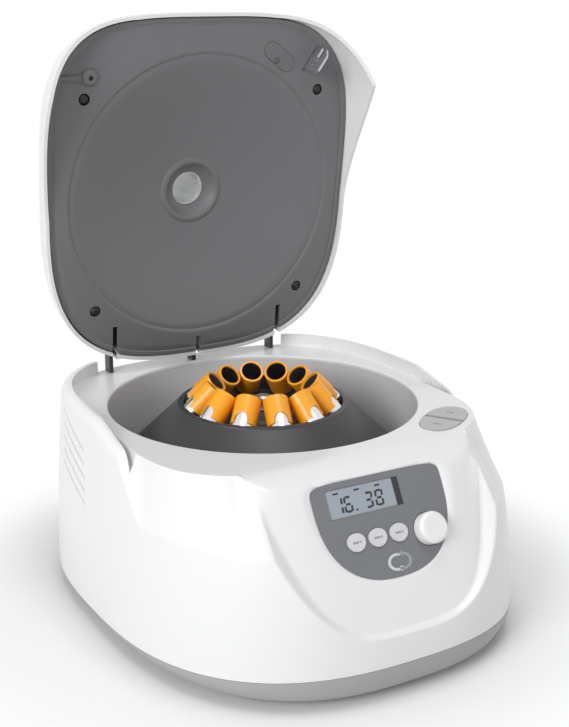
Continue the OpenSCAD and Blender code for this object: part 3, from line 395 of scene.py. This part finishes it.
def leanShare(z):
    return np.maximum(0, (z - body["widest"]) / (body["rim"] - body["widest"]))


def bodyPoint(t, z, inset):
    share = leanShare(z)
    w = body["halfWidth"] - body["sideLean"] * share**1.5 - inset
    f = body["front"] - body["noseLean"] * share**2.6 - inset
    r = body["rear"] - body["rearLean"] * share**1.5 - inset
    return planPoint(t, w, f, r, body["mid"], body["frontPower"], body["rearPower"])


def seamHeight(y):
    return seam["low"] + np.maximum(0, seam["from"] - y) ** 2 / seam["rise"]


def lidPoint(t, shrink, grow):
    return planPoint(t, lid["halfWidth"] * shrink + grow, lid["front"] * shrink + grow,
                     lid["rear"] * shrink + grow, 0, lid["frontPower"], lid["rearPower"])


def skirtShare(x, y):
    ahead = clamp((y - lid["skirtFrom"]) / (lid["skirtTip"] - lid["skirtFrom"]))
    behind = clamp((lid["skirtTo"] - y) / (lid["skirtTo"] - lid["skirtTip"])) ** lid["skirtPower"]
    return np.where(np.abs(x) < lid["skirtIn"], 0, np.where(y < lid["skirtTip"], ahead, behind))


field = {
    "slope": 64.1, "y": -176.7, "z": 94.6, "top": 64.0, "fall": 10.0, "rollY": -123.5, "rollZ": 99.5, "rollR": 45.0,
    "inner": (89.0, 116.0), "outer": (99.0, 124.0), "above": 40.0, "abovePower": 12.0, "power": 3.8, "taper": 0.27,
    "curve": (0.35, 0.65), "liftOff": 0.6, "band": 9.0, "beyondBand": 60.0, "from": -100.0,
}
panel = {
    "slope": 60.0, "y": -166.2, "z": 107.2, "lcd": (-11.2, 18.5), "icon": -26.4,
    "keyPitch": 16.4, "keys": (-9.4, -8.2), "keyTop": 1.2,
    "foot": (50.8, 15.8, 53.3, 17.0), "mouth": (69.0, 27.0, 74.0, 29.0), "rise": 8.0, "under": 3.6, "deep": -11.0,
}


def shieldLevel(u, v, w, up, down, pu, pd, taper=0.0):
    u = u / (1 - taper * clamp(-v / down))
    p = np.where(v > 0, pu, pd)
    h = np.where(v > 0, up, down)
    return (np.abs(u / w) ** p + np.abs(v / h) ** p) ** (1 / p)


def intoPlane(pts, place):
    a = math.radians(place["slope"])
    dy, dz = pts[..., 1] - place["y"], pts[..., 2] - place["z"]
    return pts[..., 0], dy * math.cos(a) + dz * math.sin(a), -dy * math.sin(a) + dz * math.cos(a)


def outOfPlane(u, v, n, place):
    a = math.radians(place["slope"])
    return np.stack([u, place["y"] + v * math.cos(a) - n * math.sin(a),
                     place["z"] + v * math.sin(a) + n * math.cos(a)], axis=-1)


# presses the front field with its rolled top, and then the recess of the grey panel, into the skin
def frontRelief(pts):
    near = pts[..., 1] < field["from"]
    u, v, n = intoPlane(pts, field)
    a = math.radians(field["slope"])
    dy, dz = field["rollY"] - field["y"], field["rollZ"] - field["z"]
    rollV, rollN = dy * math.cos(a) + dz * math.sin(a), -dy * math.sin(a) + dz * math.cos(a)
    side = (u / field["inner"][0]) ** 2
    bed = -field["fall"] * side * (field["curve"][0] + field["curve"][1] * side)
    crest = field["rollR"] * math.sin(a)  # past the top of the roll the cut lifts off the deck
    past, beyond = np.clip(v - rollV, 0, crest), np.maximum(0, v - rollV - crest)
    roll = rollN + np.sqrt(field["rollR"] ** 2 - past**2) - (math.tan(a) - field["liftOff"]) * beyond
    inner, outer = (shieldLevel(u, v - field["top"], w, field["above"], down, field["abovePower"],
                                field["power"], field["taper"]) for w, down in (field["inner"], field["outer"]))
    t = (inner - 1) / np.maximum(inner - outer, 1e-4)  # 0 at the foot of the band, 1 at its outer edge
    band, steep = field["band"], field["beyondBand"]
    slope = np.where(t < 0, steep * t, np.where(t > 1, band + steep * (t - 1), band * t))
    cut = softMax(softMin(bed, roll, 3.0), bed - 1 + slope, 2.0)
    pts = outOfPlane(u, v, np.where(near, softMin(n, cut, 1.2), n), field)

    u, v, n = intoPlane(pts, panel)
    w, up, down, centre = panel["foot"]
    foot = shieldLevel(u, v - centre, w, up, down, 7, 2.4)
    reach = np.where((v > centre) & (np.abs(v - centre) / up > np.abs(u) / w), up, w)
    w, up, down, centre = panel["mouth"]
    mouth = shieldLevel(u, v - centre, w, up, down, 6, 2.3)
    t = (foot - 1) / np.maximum(foot - mouth, 1e-4)
    inside = (1 - foot) * reach  # the drop lies under the rim of the grey panel, out of sight
    drop = np.where(inside < panel["under"], np.maximum(-1.0, -inside), panel["deep"])
    cut = np.where(t < 0, drop, panel["rise"] * np.minimum(t, 6))
    lowered = np.where(t < 0, np.minimum(n, cut), softMin(n, cut, 2.0))
    return outOfPlane(u, v, np.where(near, lowered, n), panel)


def topHeight(t):
    x, y = bodyPoint(t, body["deck"], 0)
    rise = (body["wallTop"] - body["deck"]) * clamp((y - body["notch"]) / body["notchRun"])
    return y, np.where((np.abs(x) < body["earX"]) & (y > body["earY"]), body["deck"], body["deck"] + rise)


# how far the deck's edge stands in, so that the flank ahead of the notch meets the closed lid's skirt
def skirtInset(t):
    near, far = np.zeros_like(t), np.full_like(t, 45.0)
    for _ in range(40):
        mid = 0.5 * (near + far)
        x, y = bodyPoint(t, body["deck"], mid)
        grow = seat["edge"] + lid["topFlare"] * np.sqrt(skirtShare(x, y))
        p = np.where(y < 0, lid["frontPower"], lid["rearPower"])
        outside = np.abs(x / (lid["halfWidth"] + grow)) ** p + np.abs(y / (seat["front"] + grow)) ** p > 1
        near, far = np.where(outside, mid, near), np.where(outside, far, mid)
    x, y = bodyPoint(t, body["deck"], near)
    fade = clamp((y - seat["fadeY"]) / seat["fadeRunY"]) * clamp((np.abs(x) - seat["fadeX"]) / seat["fadeRunX"])
    return 10 + (near - 10) * softStep(fade)


def moreColumns(x, y):
    atEar = (y > 80) & (np.abs(np.abs(x) - body["earX"]) < 8)
    return np.where((y < -50) | atEar, 3.0, 1.0)


def housingRows():
    t = evenColumns(lambda a: bodyPoint(a, 80.0, 0), body["columns"], moreColumns)
    y0, top = topHeight(t)
    share = softStep(clamp((body["leanFrom"] - y0) / body["leanRun"]))
    shoulder = body["round"] + (body["shoulder"] - body["round"]) * share
    lean = skirtInset(t)
    low = seamHeight(bodyPoint(t, body["widest"], 0)[1]) + seam["gap"]
    rows = []

    def addRow(x, y, z):
        rows.append(np.stack([x, y, z + 0 * t], axis=-1))

    for part in np.linspace(0, 1, body["rows"]):
        z = low + part * (top - shoulder - low)
        addRow(*bodyPoint(t, z, 0), z)
    for part in np.linspace(0, 1, 27)[1:]:
        a = math.radians(90 * part)
        inset = (1 - share) * body["round"] * (1 - math.cos(a)) + share * lean * (1 - (1 - part) ** 1.5)
        z = top - (1 - share) * body["round"] * (1 - math.sin(a)) - share * body["shoulder"] * (1 - part)
        addRow(*bodyPoint(t, z, inset), z)
    end = body["round"] + (lean - body["round"]) * share
    for k, (inset, sink) in enumerate(((8.4, 0), (9.2, 0.25), (9.5, 0.8))):  # top of the raised wall
        x, y = bodyPoint(t, top, np.maximum(inset, end + 0.02 * (k + 1)))
        addRow(x, y, np.maximum(body["deck"], top - sink))
    for k, (inset, rise) in enumerate(((9.5, 0.8), (9.7, 0.2), (10.3, 0))):  # foot of the raised wall
        x, y = bodyPoint(t, body["deck"] + 0 * t, np.maximum(inset, end + 0.02 * (k + 4)))
        addRow(x, y, np.minimum(top, body["deck"] + rise))
    x, y = rows[-1][:, 0], rows[-1][:, 1]
    turn = np.arctan2(y, x)
    edge = body["bowlEdge"]
    for part in np.linspace(0, 1, 32)[1:]:  # the deck, in to the bowl
        r = body["bowl"] + edge
        addRow(x + part * (r * np.cos(turn) - x), y + part * (r * np.sin(turn) - y), body["deck"])
    for a in np.radians([22.5, 45, 67.5, 90]):
        r = body["bowl"] + edge * (1 - math.sin(a))
        addRow(r * np.cos(turn), r * np.sin(turn), body["deck"] - edge * (1 - math.cos(a)))
    addRow(body["bowl"] * np.cos(turn), body["bowl"] * np.sin(turn), body["deck"] - 3)
    rows = frontRelief(np.array(rows))
    rows[..., 2] = np.minimum(rows[..., 2], body["wallTop"])
    return rows


# the groove behind the raised wall that takes the closed lid's skirt
def seatCutter():
    t = evenColumns(lambda a: lidPoint(a, 1, 0), 360)
    x0, y0 = lidPoint(t, 1, 0)
    share = skirtShare(x0, y0)

    def ring(part, inset):
        grow = inset + lid["topFlare"] * np.sqrt(share) + lid["flare"] * share * part
        x, y = planPoint(t, lid["halfWidth"] + grow, seat["front"] + grow, lid["rear"] + grow,
                         0, lid["frontPower"], lid["rearPower"])
        return np.stack([x, y, lid["edge"] - (lid["skirt"] * part + (part > 0)) * share], axis=-1)

    rows = [ring(part, seat["outer"]) for part in (1.0, 0.5, 0.0)]
    for wall in (rows[-1], ring(0.0, seat["inner"])):
        high = wall.copy()
        high[:, 2] = lid["edge"] + seat["above"]
        rows.append(high)
    rows += [ring(part, seat["inner"]) for part in (0.0, 0.5, 1.0)]
    rows[-1][:, 2] -= 0.01
    for row in rows:
        row[y0 < seat["end"], 2] += seat["lift"]  # ahead of the notch the groove runs out above the deck
    return gridObject("seatCutter", rows, loop=True)


louvre = {"count": 5, "y": 32.0, "shift": 1.5, "drop": 8.0, "pitch": 9.6, "slope": 17.4, "reach": 27.0,
          "wide": 0.8, "out": 2.5, "deep": 1.1}


def cutLouvres(parts):
    s = np.linspace(-louvre["reach"], louvre["reach"], 28)
    a, n = math.radians(louvre["slope"]), len(s)
    faces = [[j * n + i, j * n + i + 1, (j + 1) % 4 * n + i + 1, (j + 1) % 4 * n + i]
             for j in range(4) for i in range(n - 1)]
    faces += [[0, n, 2 * n, 3 * n], [n - 1, 4 * n - 1, 3 * n - 1, 2 * n - 1]]
    wide, out, deep = louvre["wide"], louvre["out"], louvre["deep"]
    for side in (-1, 1):
        for k in range(louvre["count"]):
            y0 = louvre["y"] - louvre["shift"] * k
            z0 = body["rim"] - louvre["drop"] - louvre["pitch"] * k
            rows = []
            for up, reach in ((-wide, out), (wide, out), (wide, -deep), (-wide, -deep)):
                y = y0 + s * math.cos(a) - up * math.sin(a)
                z = z0 + s * math.sin(a) + up * math.cos(a)
                w = body["halfWidth"] - body["sideLean"] * leanShare(z) ** 1.5
                r = body["rear"] - body["rearLean"] * leanShare(z) ** 1.5
                behind = (np.maximum(y - body["mid"], 0) / r) ** body["rearPower"]
                x = w * (1 - behind) ** (1 / body["rearPower"])
                rows.append(np.stack([side * (x + reach), y, z], axis=-1))
            parts.add(np.concatenate(rows), faces)


release = {"x": 90.4, "y": -104.8, "turn": 33.6, "long": 28.0, "wide": 14.5, "gap": 0.3, "well": 17.8, "proud": 0.6}
mains = {"low": (-80, 138, 23), "high": (-8, 175, 57)}


def atRelease(p):
    c, s = math.cos(math.radians(release["turn"])), math.sin(math.radians(release["turn"]))
    return np.stack([release["x"] + p[:, 0] * c - p[:, 1] * s, release["y"] + p[:, 0] * s + p[:, 1] * c, p[:, 2]],
                    axis=-1)


def ovalPoints(grow, count=120):
    t = np.arange(count) * 2 * math.pi / count
    return list(zip((release["long"] + grow) * signedPower(np.cos(t), 0.9),
                    (release["wide"] + grow) * signedPower(np.sin(t), 0.9)))


housing = gridObject("housing_shell", housingRows(), caps=True)
tools = Parts()
cutLouvres(tools)
tools.prism(ovalPoints(release["gap"]), body["deck"] - release["well"], body["deck"] + 6, atRelease)
tools.box(mains["low"], mains["high"])
cutAway(housing, seatCutter(), tools.build("cutter"))
dropCaps(housing)
dress(housing, "white_housing", "housing", "upper_housing")
print("stage: housing")

tray = {
    "low": 8.0, "tuck": 5.0, "wall": 8.0, "floor": 11.0, "columns": 480, "vents": range(-4, 5), "ventPitch": 9,
    "screws": ((-118, 70), (118, 70), (-118, -60), (118, -60), (0, -150), (0, 118)), "screwHole": 2.2,
    "feet": ((-92, 100), (92, 100), (-84, -128), (84, -128)), "footHole": 13.4,
}
t = evenColumns(lambda a: bodyPoint(a, body["widest"], 0), tray["columns"])
high = seamHeight(bodyPoint(t, body["widest"], 0)[1])
rows = []
for part in np.linspace(0, 1, 12):
    x, y = bodyPoint(t, body["widest"] + 0 * t, tray["tuck"] * (1 - part) ** 2)
    rows.append(np.stack([x, y, tray["low"] + part * (high - tray["low"])], axis=-1))
for z in (high, tray["floor"] + 0 * t):
    x, y = bodyPoint(t, body["widest"] + 0 * t, tray["wall"])
    rows.append(np.stack([x, y, z], axis=-1))
trayObj = gridObject("base_tray", rows, caps=True)
tools = Parts()
for k in tray["vents"]:
    tools.box((k * tray["ventPitch"] - 1.5, 37, 5), (k * tray["ventPitch"] + 1.5, 87, 14))
for x, y in tray["screws"]:
    tools.rod((x, y, 0), "z", tray["screwHole"], 6, 13)
for x, y in tray["feet"]:
    tools.rod((x, y, 0), "z", tray["footHole"], 6, 9.2)
cutAway(trayObj, tools.build("cutter"))
dress(trayObj, "grey_tray", "housing", "base_pan")
print("stage: tray")


# the lid is drawn closed and then swung up about its hinge
def opened(pts):
    a = math.radians(-lid["open"])
    dy, dz = pts[..., 1] - lid["hingeY"], pts[..., 2] - lid["hingeZ"]
    return np.stack([pts[..., 0], lid["hingeY"] + dy * math.cos(a) - dz * math.sin(a),
                     lid["hingeZ"] + dy * math.sin(a) + dz * math.cos(a)], axis=-1)


lidTurns = evenColumns(lambda a: lidPoint(a, 1, 0), 480)
lidX, lidY = lidPoint(lidTurns, 1, 0)
lidShare = skirtShare(lidX, lidY)
lidAngle = np.arctan2(lidY, lidX)
rearLift = 2.4 * clamp((lidY - 60) / 73) ** 2  # the rear edge stands up to clear the deck


def skirtRow(part, inset):
    x, y = lidPoint(lidTurns, 1, lid["topFlare"] * np.sqrt(lidShare) + lid["flare"] * lidShare * part - inset)
    return np.stack([x, y, lid["edge"] + rearLift - lid["skirt"] * lidShare * part], axis=-1)


def domeRow(turn, height, inset):
    a = math.radians(turn)
    shrink = math.cos(a) ** 0.8
    x, y = lidPoint(lidTurns, shrink, -inset)
    roundness = clamp((turn - 55) / 25)  # the rings turn round towards the sight hole
    size, angle = shrink * lid["rear"] - inset, np.arctan2(y, x)
    x = x + roundness * (size * np.cos(angle) - x)
    y = y + roundness * (size * np.sin(angle) - y)
    fade = lid["topFlare"] * np.sqrt(lidShare) * clamp(1 - turn / 9) ** 2  # the skirt's flare runs out
    z = lid["edge"] + rearLift * (1 - math.sin(a)) + height * math.sin(a) ** 0.9
    return np.stack([x + fade * np.sign(x), y, z], axis=-1)


def ringRow(radius, z):
    return np.stack([radius * np.cos(lidAngle), radius * np.sin(lidAngle), z + 0 * lidAngle], axis=-1)


crown = lid["edge"] + lid["dome"]
outsideTurns = np.concatenate([np.linspace(1.5, 12, 8), np.linspace(15, 81, 34)])
rows = [skirtRow(1 - k / 12, 0) for k in range(13)]
rows += [domeRow(a, lid["dome"], 0) for a in outsideTurns]
rows += [ringRow(lid["tube"], crown - 0.3), ringRow(lid["tube"], crown - 2.8)]
rows += [domeRow(a, lid["dome"] - lid["wall"], lid["wall"]) for a in (78, 68, 58, 48, 38, 28, 18, 12, 8, 5, 2.5)]
rows += [skirtRow(part, lid["wall"]) for part in (0, 0.5, 1)]
shell = gridObject("lid_shell_smooth", opened(np.array(rows)), loop=True)

hinge = {"x": 73.5, "slot": 2.2, "knuckles": (-69.3, 69.3, -4.2, 4.2), "half": 2.0, "r": 4.5, "down": 11.0}
tools = Parts()
for x in (-hinge["x"], 0, hinge["x"]):
    tools.box((x - hinge["slot"], lid["hingeY"] - 5.5, 136), (x + hinge["slot"], lid["hingeY"] + 32.5, 166), opened)
cutAway(shell, tools.build("cutter"))
knuckles = Parts()
for x in hinge["knuckles"]:
    half, r, y, z = hinge["half"], hinge["r"], lid["hingeY"], lid["hingeZ"]
    knuckles.rod((x, y, z), "x", r, -half, half, move=opened)
    knuckles.box((x - half, y - r, z - hinge["down"]), (x + half, y + r, z), opened)
dress(shell, "white_housing", "lid", "lid_shell")
dress(knuckles.build("lid_knuckles"), "white_housing", "lid")
print("stage: lid")

lining = {
    "low": 149.0, "flare": 2.4, "dish": 111.0, "depth": 24.0, "sag": 0.35, "sightRing": 23.5, "thick": 2.2,
    "slot": 2.1, "screws": ((-98.6, -80.3), (98.6, -80.3), (-90.2, 84), (90.2, 84)), "screwHole": 4.4,
    "cover": ((55.5, -112.0), (69.0, -101.8)), "coverR": 6.9,
}


def dishHeight(r):
    part = r / lining["dish"]
    return lining["low"] + lining["depth"] * (1 - part**2) * (1 - lining["sag"] * part**4)


def liningRow(inset, up):
    x, y = lidPoint(lidTurns, 1, lining["flare"] * np.sqrt(lidShare) - inset)
    return np.stack([x, y, lining["low"] + up + 0 * x], axis=-1)


def liningRing(radius, up):
    return ringRow(radius, lining["low"] + up)


rows = [liningRow(inset, up) for inset, up in  # rim with its sealing groove
        ((3.5, 0.6), (3.8, 0.15), (4.5, 0), (6.5, 0), (7.2, 0.5), (8.2, 0.5), (9.0, 0))]
flat = liningRow(9.0, 0)
rows += [flat + part * (liningRing(113.2, 0) - flat) for part in (0.25, 0.5, 0.75, 1)]
rows += [liningRing(112.2, 0.15), liningRing(111.2, 0.6), liningRing(110.4, 1.3)]
rows += [ringRow(r, max(dishHeight(r), lining["low"] + 1.3)) for r in np.linspace(109.5, 26.5, 44)]
top = dishHeight(lining["sightRing"])
rows += [ringRow(r, top + up) for r, up in  # moat and collar round the sight hole
         ((25.2, -1.0), (24.2, -1.5), (22.6, -1.5), (21.6, -1.0), (20.5, 0.6), (16.5, 4), (13.6, 5), (13.6, 8))]
rows += [ringRow(r, max(dishHeight(min(r, lining["dish"])), lining["low"]) + lining["thick"])
         for r in (18, 24, 40, 60, 80, 95, 105, 111.5)]
rows += [liningRow(9.0, lining["thick"]), liningRow(3.5, lining["thick"])]
liningObj = gridObject("lid_lining_smooth", opened(np.array(rows)), loop=True)
tools = Parts()
for x in (-hinge["x"], hinge["x"]):
    tools.box((x - lining["slot"], 99, 144), (x + lining["slot"], 140, 154), opened)
tools.box((-lining["slot"], 117, 144), (lining["slot"], 145, 154), opened)
for x, y in lining["screws"]:
    tools.rod((x, y, 0), "z", lining["screwHole"], 140, 156, move=opened)
tools.prism([(-1.3, -11), (1.3, -11), (1.3, 11), (-1.3, 11)], 144, 154, lambda p: opened(atRelease(p)))
(x0, y0), (x1, y1) = lining["cover"]
a, r = math.atan2(y1 - y0, x1 - x0), lining["coverR"]
ends = ((x0, y0, np.linspace(a + math.pi / 2, a + 1.5 * math.pi, 24)),
        (x1, y1, np.linspace(a - math.pi / 2, a + math.pi / 2, 24)))
tools.prism([(x + r * math.cos(b), y + r * math.sin(b)) for x, y, turns in ends for b in turns], 144, 150, opened)
cutAway(liningObj, tools.build("cutter"))
dress(liningObj, "lining_grey", "lid", "lid_lining")
rib = Parts().prism([(-101, -98.2), (-118, -97.2), (-118, -94.8), (-101, -93.8)], 147.6, 149.2, opened)
dress(rib.build("bumper_rib"), "cover_grey", "lid")
print("stage: lining")


def onPanel(p):
    return outOfPlane(p[:, 0], p[:, 1], p[:, 2], panel)


lcdX, lcdV = panel["lcd"]
display = {
    "wide": 6.4, "tall": 10.8, "bar": 1.5, "lean": 0.08, "low": -0.4, "high": -0.34,
    "digits": (("1", -18.5), ("6", -11.3), ("3", 4.4), ("8", 12.6)), "dashes": (-20, -4, 12),
    "segments": {"1": "bc", "3": "abgcd", "6": "afgedc", "8": "abcdefg"},
}


def drawDigit(parts, symbol, cx, cy):
    w, h, b = display["wide"] / 2, display["tall"] / 2, display["bar"]
    bars = {
        "a": (-w + b, h - b, w - b, h), "d": (-w + b, -h, w - b, -h + b), "g": (-w + b, -b / 2, w - b, b / 2),
        "b": (w - b, b * 0.7, w, h - b * 0.4), "c": (w - b, -h + b * 0.4, w, -b * 0.7),
        "f": (-w, b * 0.7, -w + b, h - b * 0.4), "e": (-w, -h + b * 0.4, -w + b, -b * 0.7),
    }
    for name in display["segments"][symbol]:
        left, low, right, high = bars[name]
        ring = [(cx + x + display["lean"] * y, cy + y)
                for x, y in ((left, low), (right, low), (right, high), (left, high))]
        parts.prism(ring, display["low"], display["high"], onPanel)


digits = Parts()
for symbol, dx in display["digits"]:
    drawDigit(digits, symbol, lcdX + dx - 1.5, lcdV - 1.6)
digits.box((lcdX - 8.0, lcdV - 6.9, display["low"]), (lcdX - 6.6, lcdV - 5.5, display["high"]), onPanel)
for dx in display["dashes"]:
    digits.box((lcdX + dx - 2.4, lcdV + 6.0, display["low"]), (lcdX + dx + 1.6, lcdV + 7.2, display["high"]), onPanel)
mark(digits.build("display_marks"), printDark, "housing")
strip = Parts().box((23.3 + lcdX, lcdV - 9.3, display["low"]), (27.8 + lcdX, lcdV + 9.3, -0.33), onPanel)
mark(strip.build("display_strip"), printDark, "housing")
border = Parts()
for left, low, right, high in ((-28, -9.5, 28, -8.5), (-28, 8.5, 28, 9.5), (-28, -9.5, -26.8, 9.5),
                               (22.6, -9.5, 23.6, 9.5)):
    border.box((lcdX + left + 0.2, lcdV + low + 0.2, display["low"]),
               (lcdX + right - 0.2, lcdV + high - 0.2, -0.35), onPanel)
mark(border.build("display_border"), printGrey, "housing")

icon = {"radius": 6.2, "width": 2.1, "squash": 0.78, "thick": 0.05,
        "arcs": (("icon_left", 0.4, (60, 285), printPale), ("icon_right", 4.4, (240, 440), printGrey))}


def drawArc(parts, cx, cy, start, end):
    squash, width = icon["squash"], icon["width"]
    angles = np.radians(np.linspace(start, end, 22))

    def onArc(a, radius):
        return cx + radius * math.cos(a), cy + squash * radius * math.sin(a)

    outline = [onArc(a, icon["radius"] + width / 2) for a in angles]
    outline += [onArc(a, icon["radius"] - width / 2) for a in angles[::-1]]
    parts.prism(outline, 0.0, icon["thick"], onPanel)
    tip = angles[-1]
    mid = np.array(onArc(tip, icon["radius"]))
    ahead = np.array([-math.sin(tip), squash * math.cos(tip)])
    ahead /= np.linalg.norm(ahead)
    across = np.array([ahead[1], -ahead[0]])
    head = [mid - across * width * 0.95, mid + across * width * 0.95, mid + ahead * width * 1.5]
    parts.prism([tuple(p) for p in head], 0.0, icon["thick"], onPanel)


for name, cx, span, material in icon["arcs"]:
    arc = Parts()
    drawArc(arc, cx, panel["icon"], *span)
    mark(arc.build(name), material, "housing")

low, high = panel["keyTop"], panel["keyTop"] + 0.02
for name, k in (("left_key", -1), ("middle_key", 0), ("right_key", 1)):
    cx, cv = panel["keys"][0] + panel["keyPitch"] * k, panel["keys"][1]
    dash = Parts()
    for left, right in ((-3.2, 1.4), (2.0, 3.2)):
        dash.box((cx + left, cv - 0.7, low), (cx + right, cv + 0.7, high), onPanel)
    mark(dash.build("key_mark_" + name), printGrey, name)
low = body["deck"] + release["proud"]
for name, x in (("rear_release", 14), ("front_release", -14)):
    dash = Parts().box((x - 0.5, -3, low), (x + 0.5, 3, low + 0.03), atRelease)
    mark(dash.build("release_mark_" + name), printDark, name)
print("stage: marks")

# every other CAD piece keeps its solid and gets its own finish
redrawn = {"upper_housing", "base_pan", "lid_shell", "lid_lining"}
slots = {p["node"]: p["material_slot"] for p in frame["record"]["subparts"]}
for name, obj in frame["nodes"].items():
    if name not in redrawn:
        obj.data.materials.clear()
        obj.data.materials.append(finish[slots[name]])
        smooth(obj.data, 30)
print("stage: CAD pieces")

# camera, mirror and glass rays find white where the floor has faded out, and the shadow stays near the feet
room = {"fadeFrom": 0.155, "fadeTo": 0.31, "light": 0.4, "size": 6}
floorMesh = bpy.data.meshes.new("floor")
s = room["size"]
floorMesh.from_pydata([(-s, -s, 0), (s, -s, 0), (s, s, 0), (-s, s, 0)], [], [(0, 1, 2, 3)])
floor = bpy.data.objects.new("floor", floorMesh)
bpy.context.scene.collection.objects.link(floor)
floorFinish = plastic("floor_paper", (0.86, 0.86, 0.86), 0.7, 60, 0.01, 0.0)
nodes, link = floorFinish.node_tree.nodes, floorFinish.node_tree.links.new
nodes["Principled BSDF"].inputs["Specular IOR Level"].default_value = 0.1


def whiteRays(tree):
    path = tree.nodes.new("ShaderNodeLightPath")
    first, second = tree.nodes.new("ShaderNodeMath"), tree.nodes.new("ShaderNodeMath")
    first.operation = second.operation = "MAXIMUM"
    tree.links.new(path.outputs["Is Camera Ray"], first.inputs[0])
    tree.links.new(path.outputs["Is Glossy Ray"], first.inputs[1])
    tree.links.new(first.outputs[0], second.inputs[0])
    tree.links.new(path.outputs["Is Transmission Ray"], second.inputs[1])
    return second.outputs[0]


place = nodes.new("ShaderNodeTexCoord")
reach = nodes.new("ShaderNodeVectorMath")
reach.operation = "LENGTH"
fade = nodes.new("ShaderNodeMapRange")
fade.interpolation_type = "SMOOTHERSTEP"
fade.inputs["From Min"].default_value, fade.inputs["From Max"].default_value = room["fadeFrom"], room["fadeTo"]
both = nodes.new("ShaderNodeMath")
both.operation = "MULTIPLY"
glow = nodes.new("ShaderNodeEmission")
glow.inputs["Strength"].default_value = 1.0
blendShader = nodes.new("ShaderNodeMixShader")
link(place.outputs["Object"], reach.inputs[0])
link(reach.outputs["Value"], fade.inputs["Value"])
link(fade.outputs["Result"], both.inputs[0])
link(whiteRays(floorFinish.node_tree), both.inputs[1])
link(both.outputs[0], blendShader.inputs["Fac"])
link(nodes["Principled BSDF"].outputs["BSDF"], blendShader.inputs[1])
link(glow.outputs["Emission"], blendShader.inputs[2])
link(blendShader.outputs["Shader"], nodes["Material Output"].inputs["Surface"])
floor.data.materials.append(floorFinish)

world = bpy.data.worlds.new("studio")
bpy.context.scene.world = world
world.use_nodes = True
nodes, link = world.node_tree.nodes, world.node_tree.links.new
back = nodes["Background"]
mix = nodes.new("ShaderNodeMix")
mix.data_type = "FLOAT"
mix.inputs["A"].default_value = room["light"]
mix.inputs["B"].default_value = 1.0
link(whiteRays(world.node_tree), mix.inputs["Factor"])
link(mix.outputs["Result"], back.inputs["Strength"])
back.inputs["Color"].default_value = (1, 1, 1, 1)

# place, aim, size and power of each lamp
lights = {
    "key": ((-1.75, -0.9, 0.95), (0.0, 0.0, 0.1), 0.9, 24),
    "top": ((0.0, -0.3, 2.0), (0.0, 0.0, 0.1), 1.0, 13),
    "right": ((1.8, -0.6, 0.3), (0.0, 0.0, 0.08), 0.6, 3),
}
for name, (where, aim, size, power) in lights.items():
    data = bpy.data.lights.new(name, "AREA")
    data.size, data.energy = size, power
    lamp = bpy.data.objects.new(name, data)
    lamp.location = where
    lamp.rotation_euler = (Vector(aim) - Vector(where)).to_track_quat("-Z", "Y").to_euler()
    bpy.context.scene.collection.objects.link(lamp)

view = {"place": (-0.4307, -0.7706, 0.4389), "tilt": 73.4, "turn": -29.8, "lens": 61.9}
camData = bpy.data.cameras.new("camera")
camData.lens, camData.sensor_width = view["lens"], 36
camData.clip_start, camData.clip_end = 0.05, 30
cam = bpy.data.objects.new("camera", camData)
cam.location = view["place"]
cam.rotation_euler = (math.radians(view["tilt"]), 0, math.radians(view["turn"]))
bpy.context.scene.collection.objects.link(cam)
bpy.context.scene.camera = cam
bpy.context.scene.view_settings.view_transform = "Standard"
print("stage: room and camera")
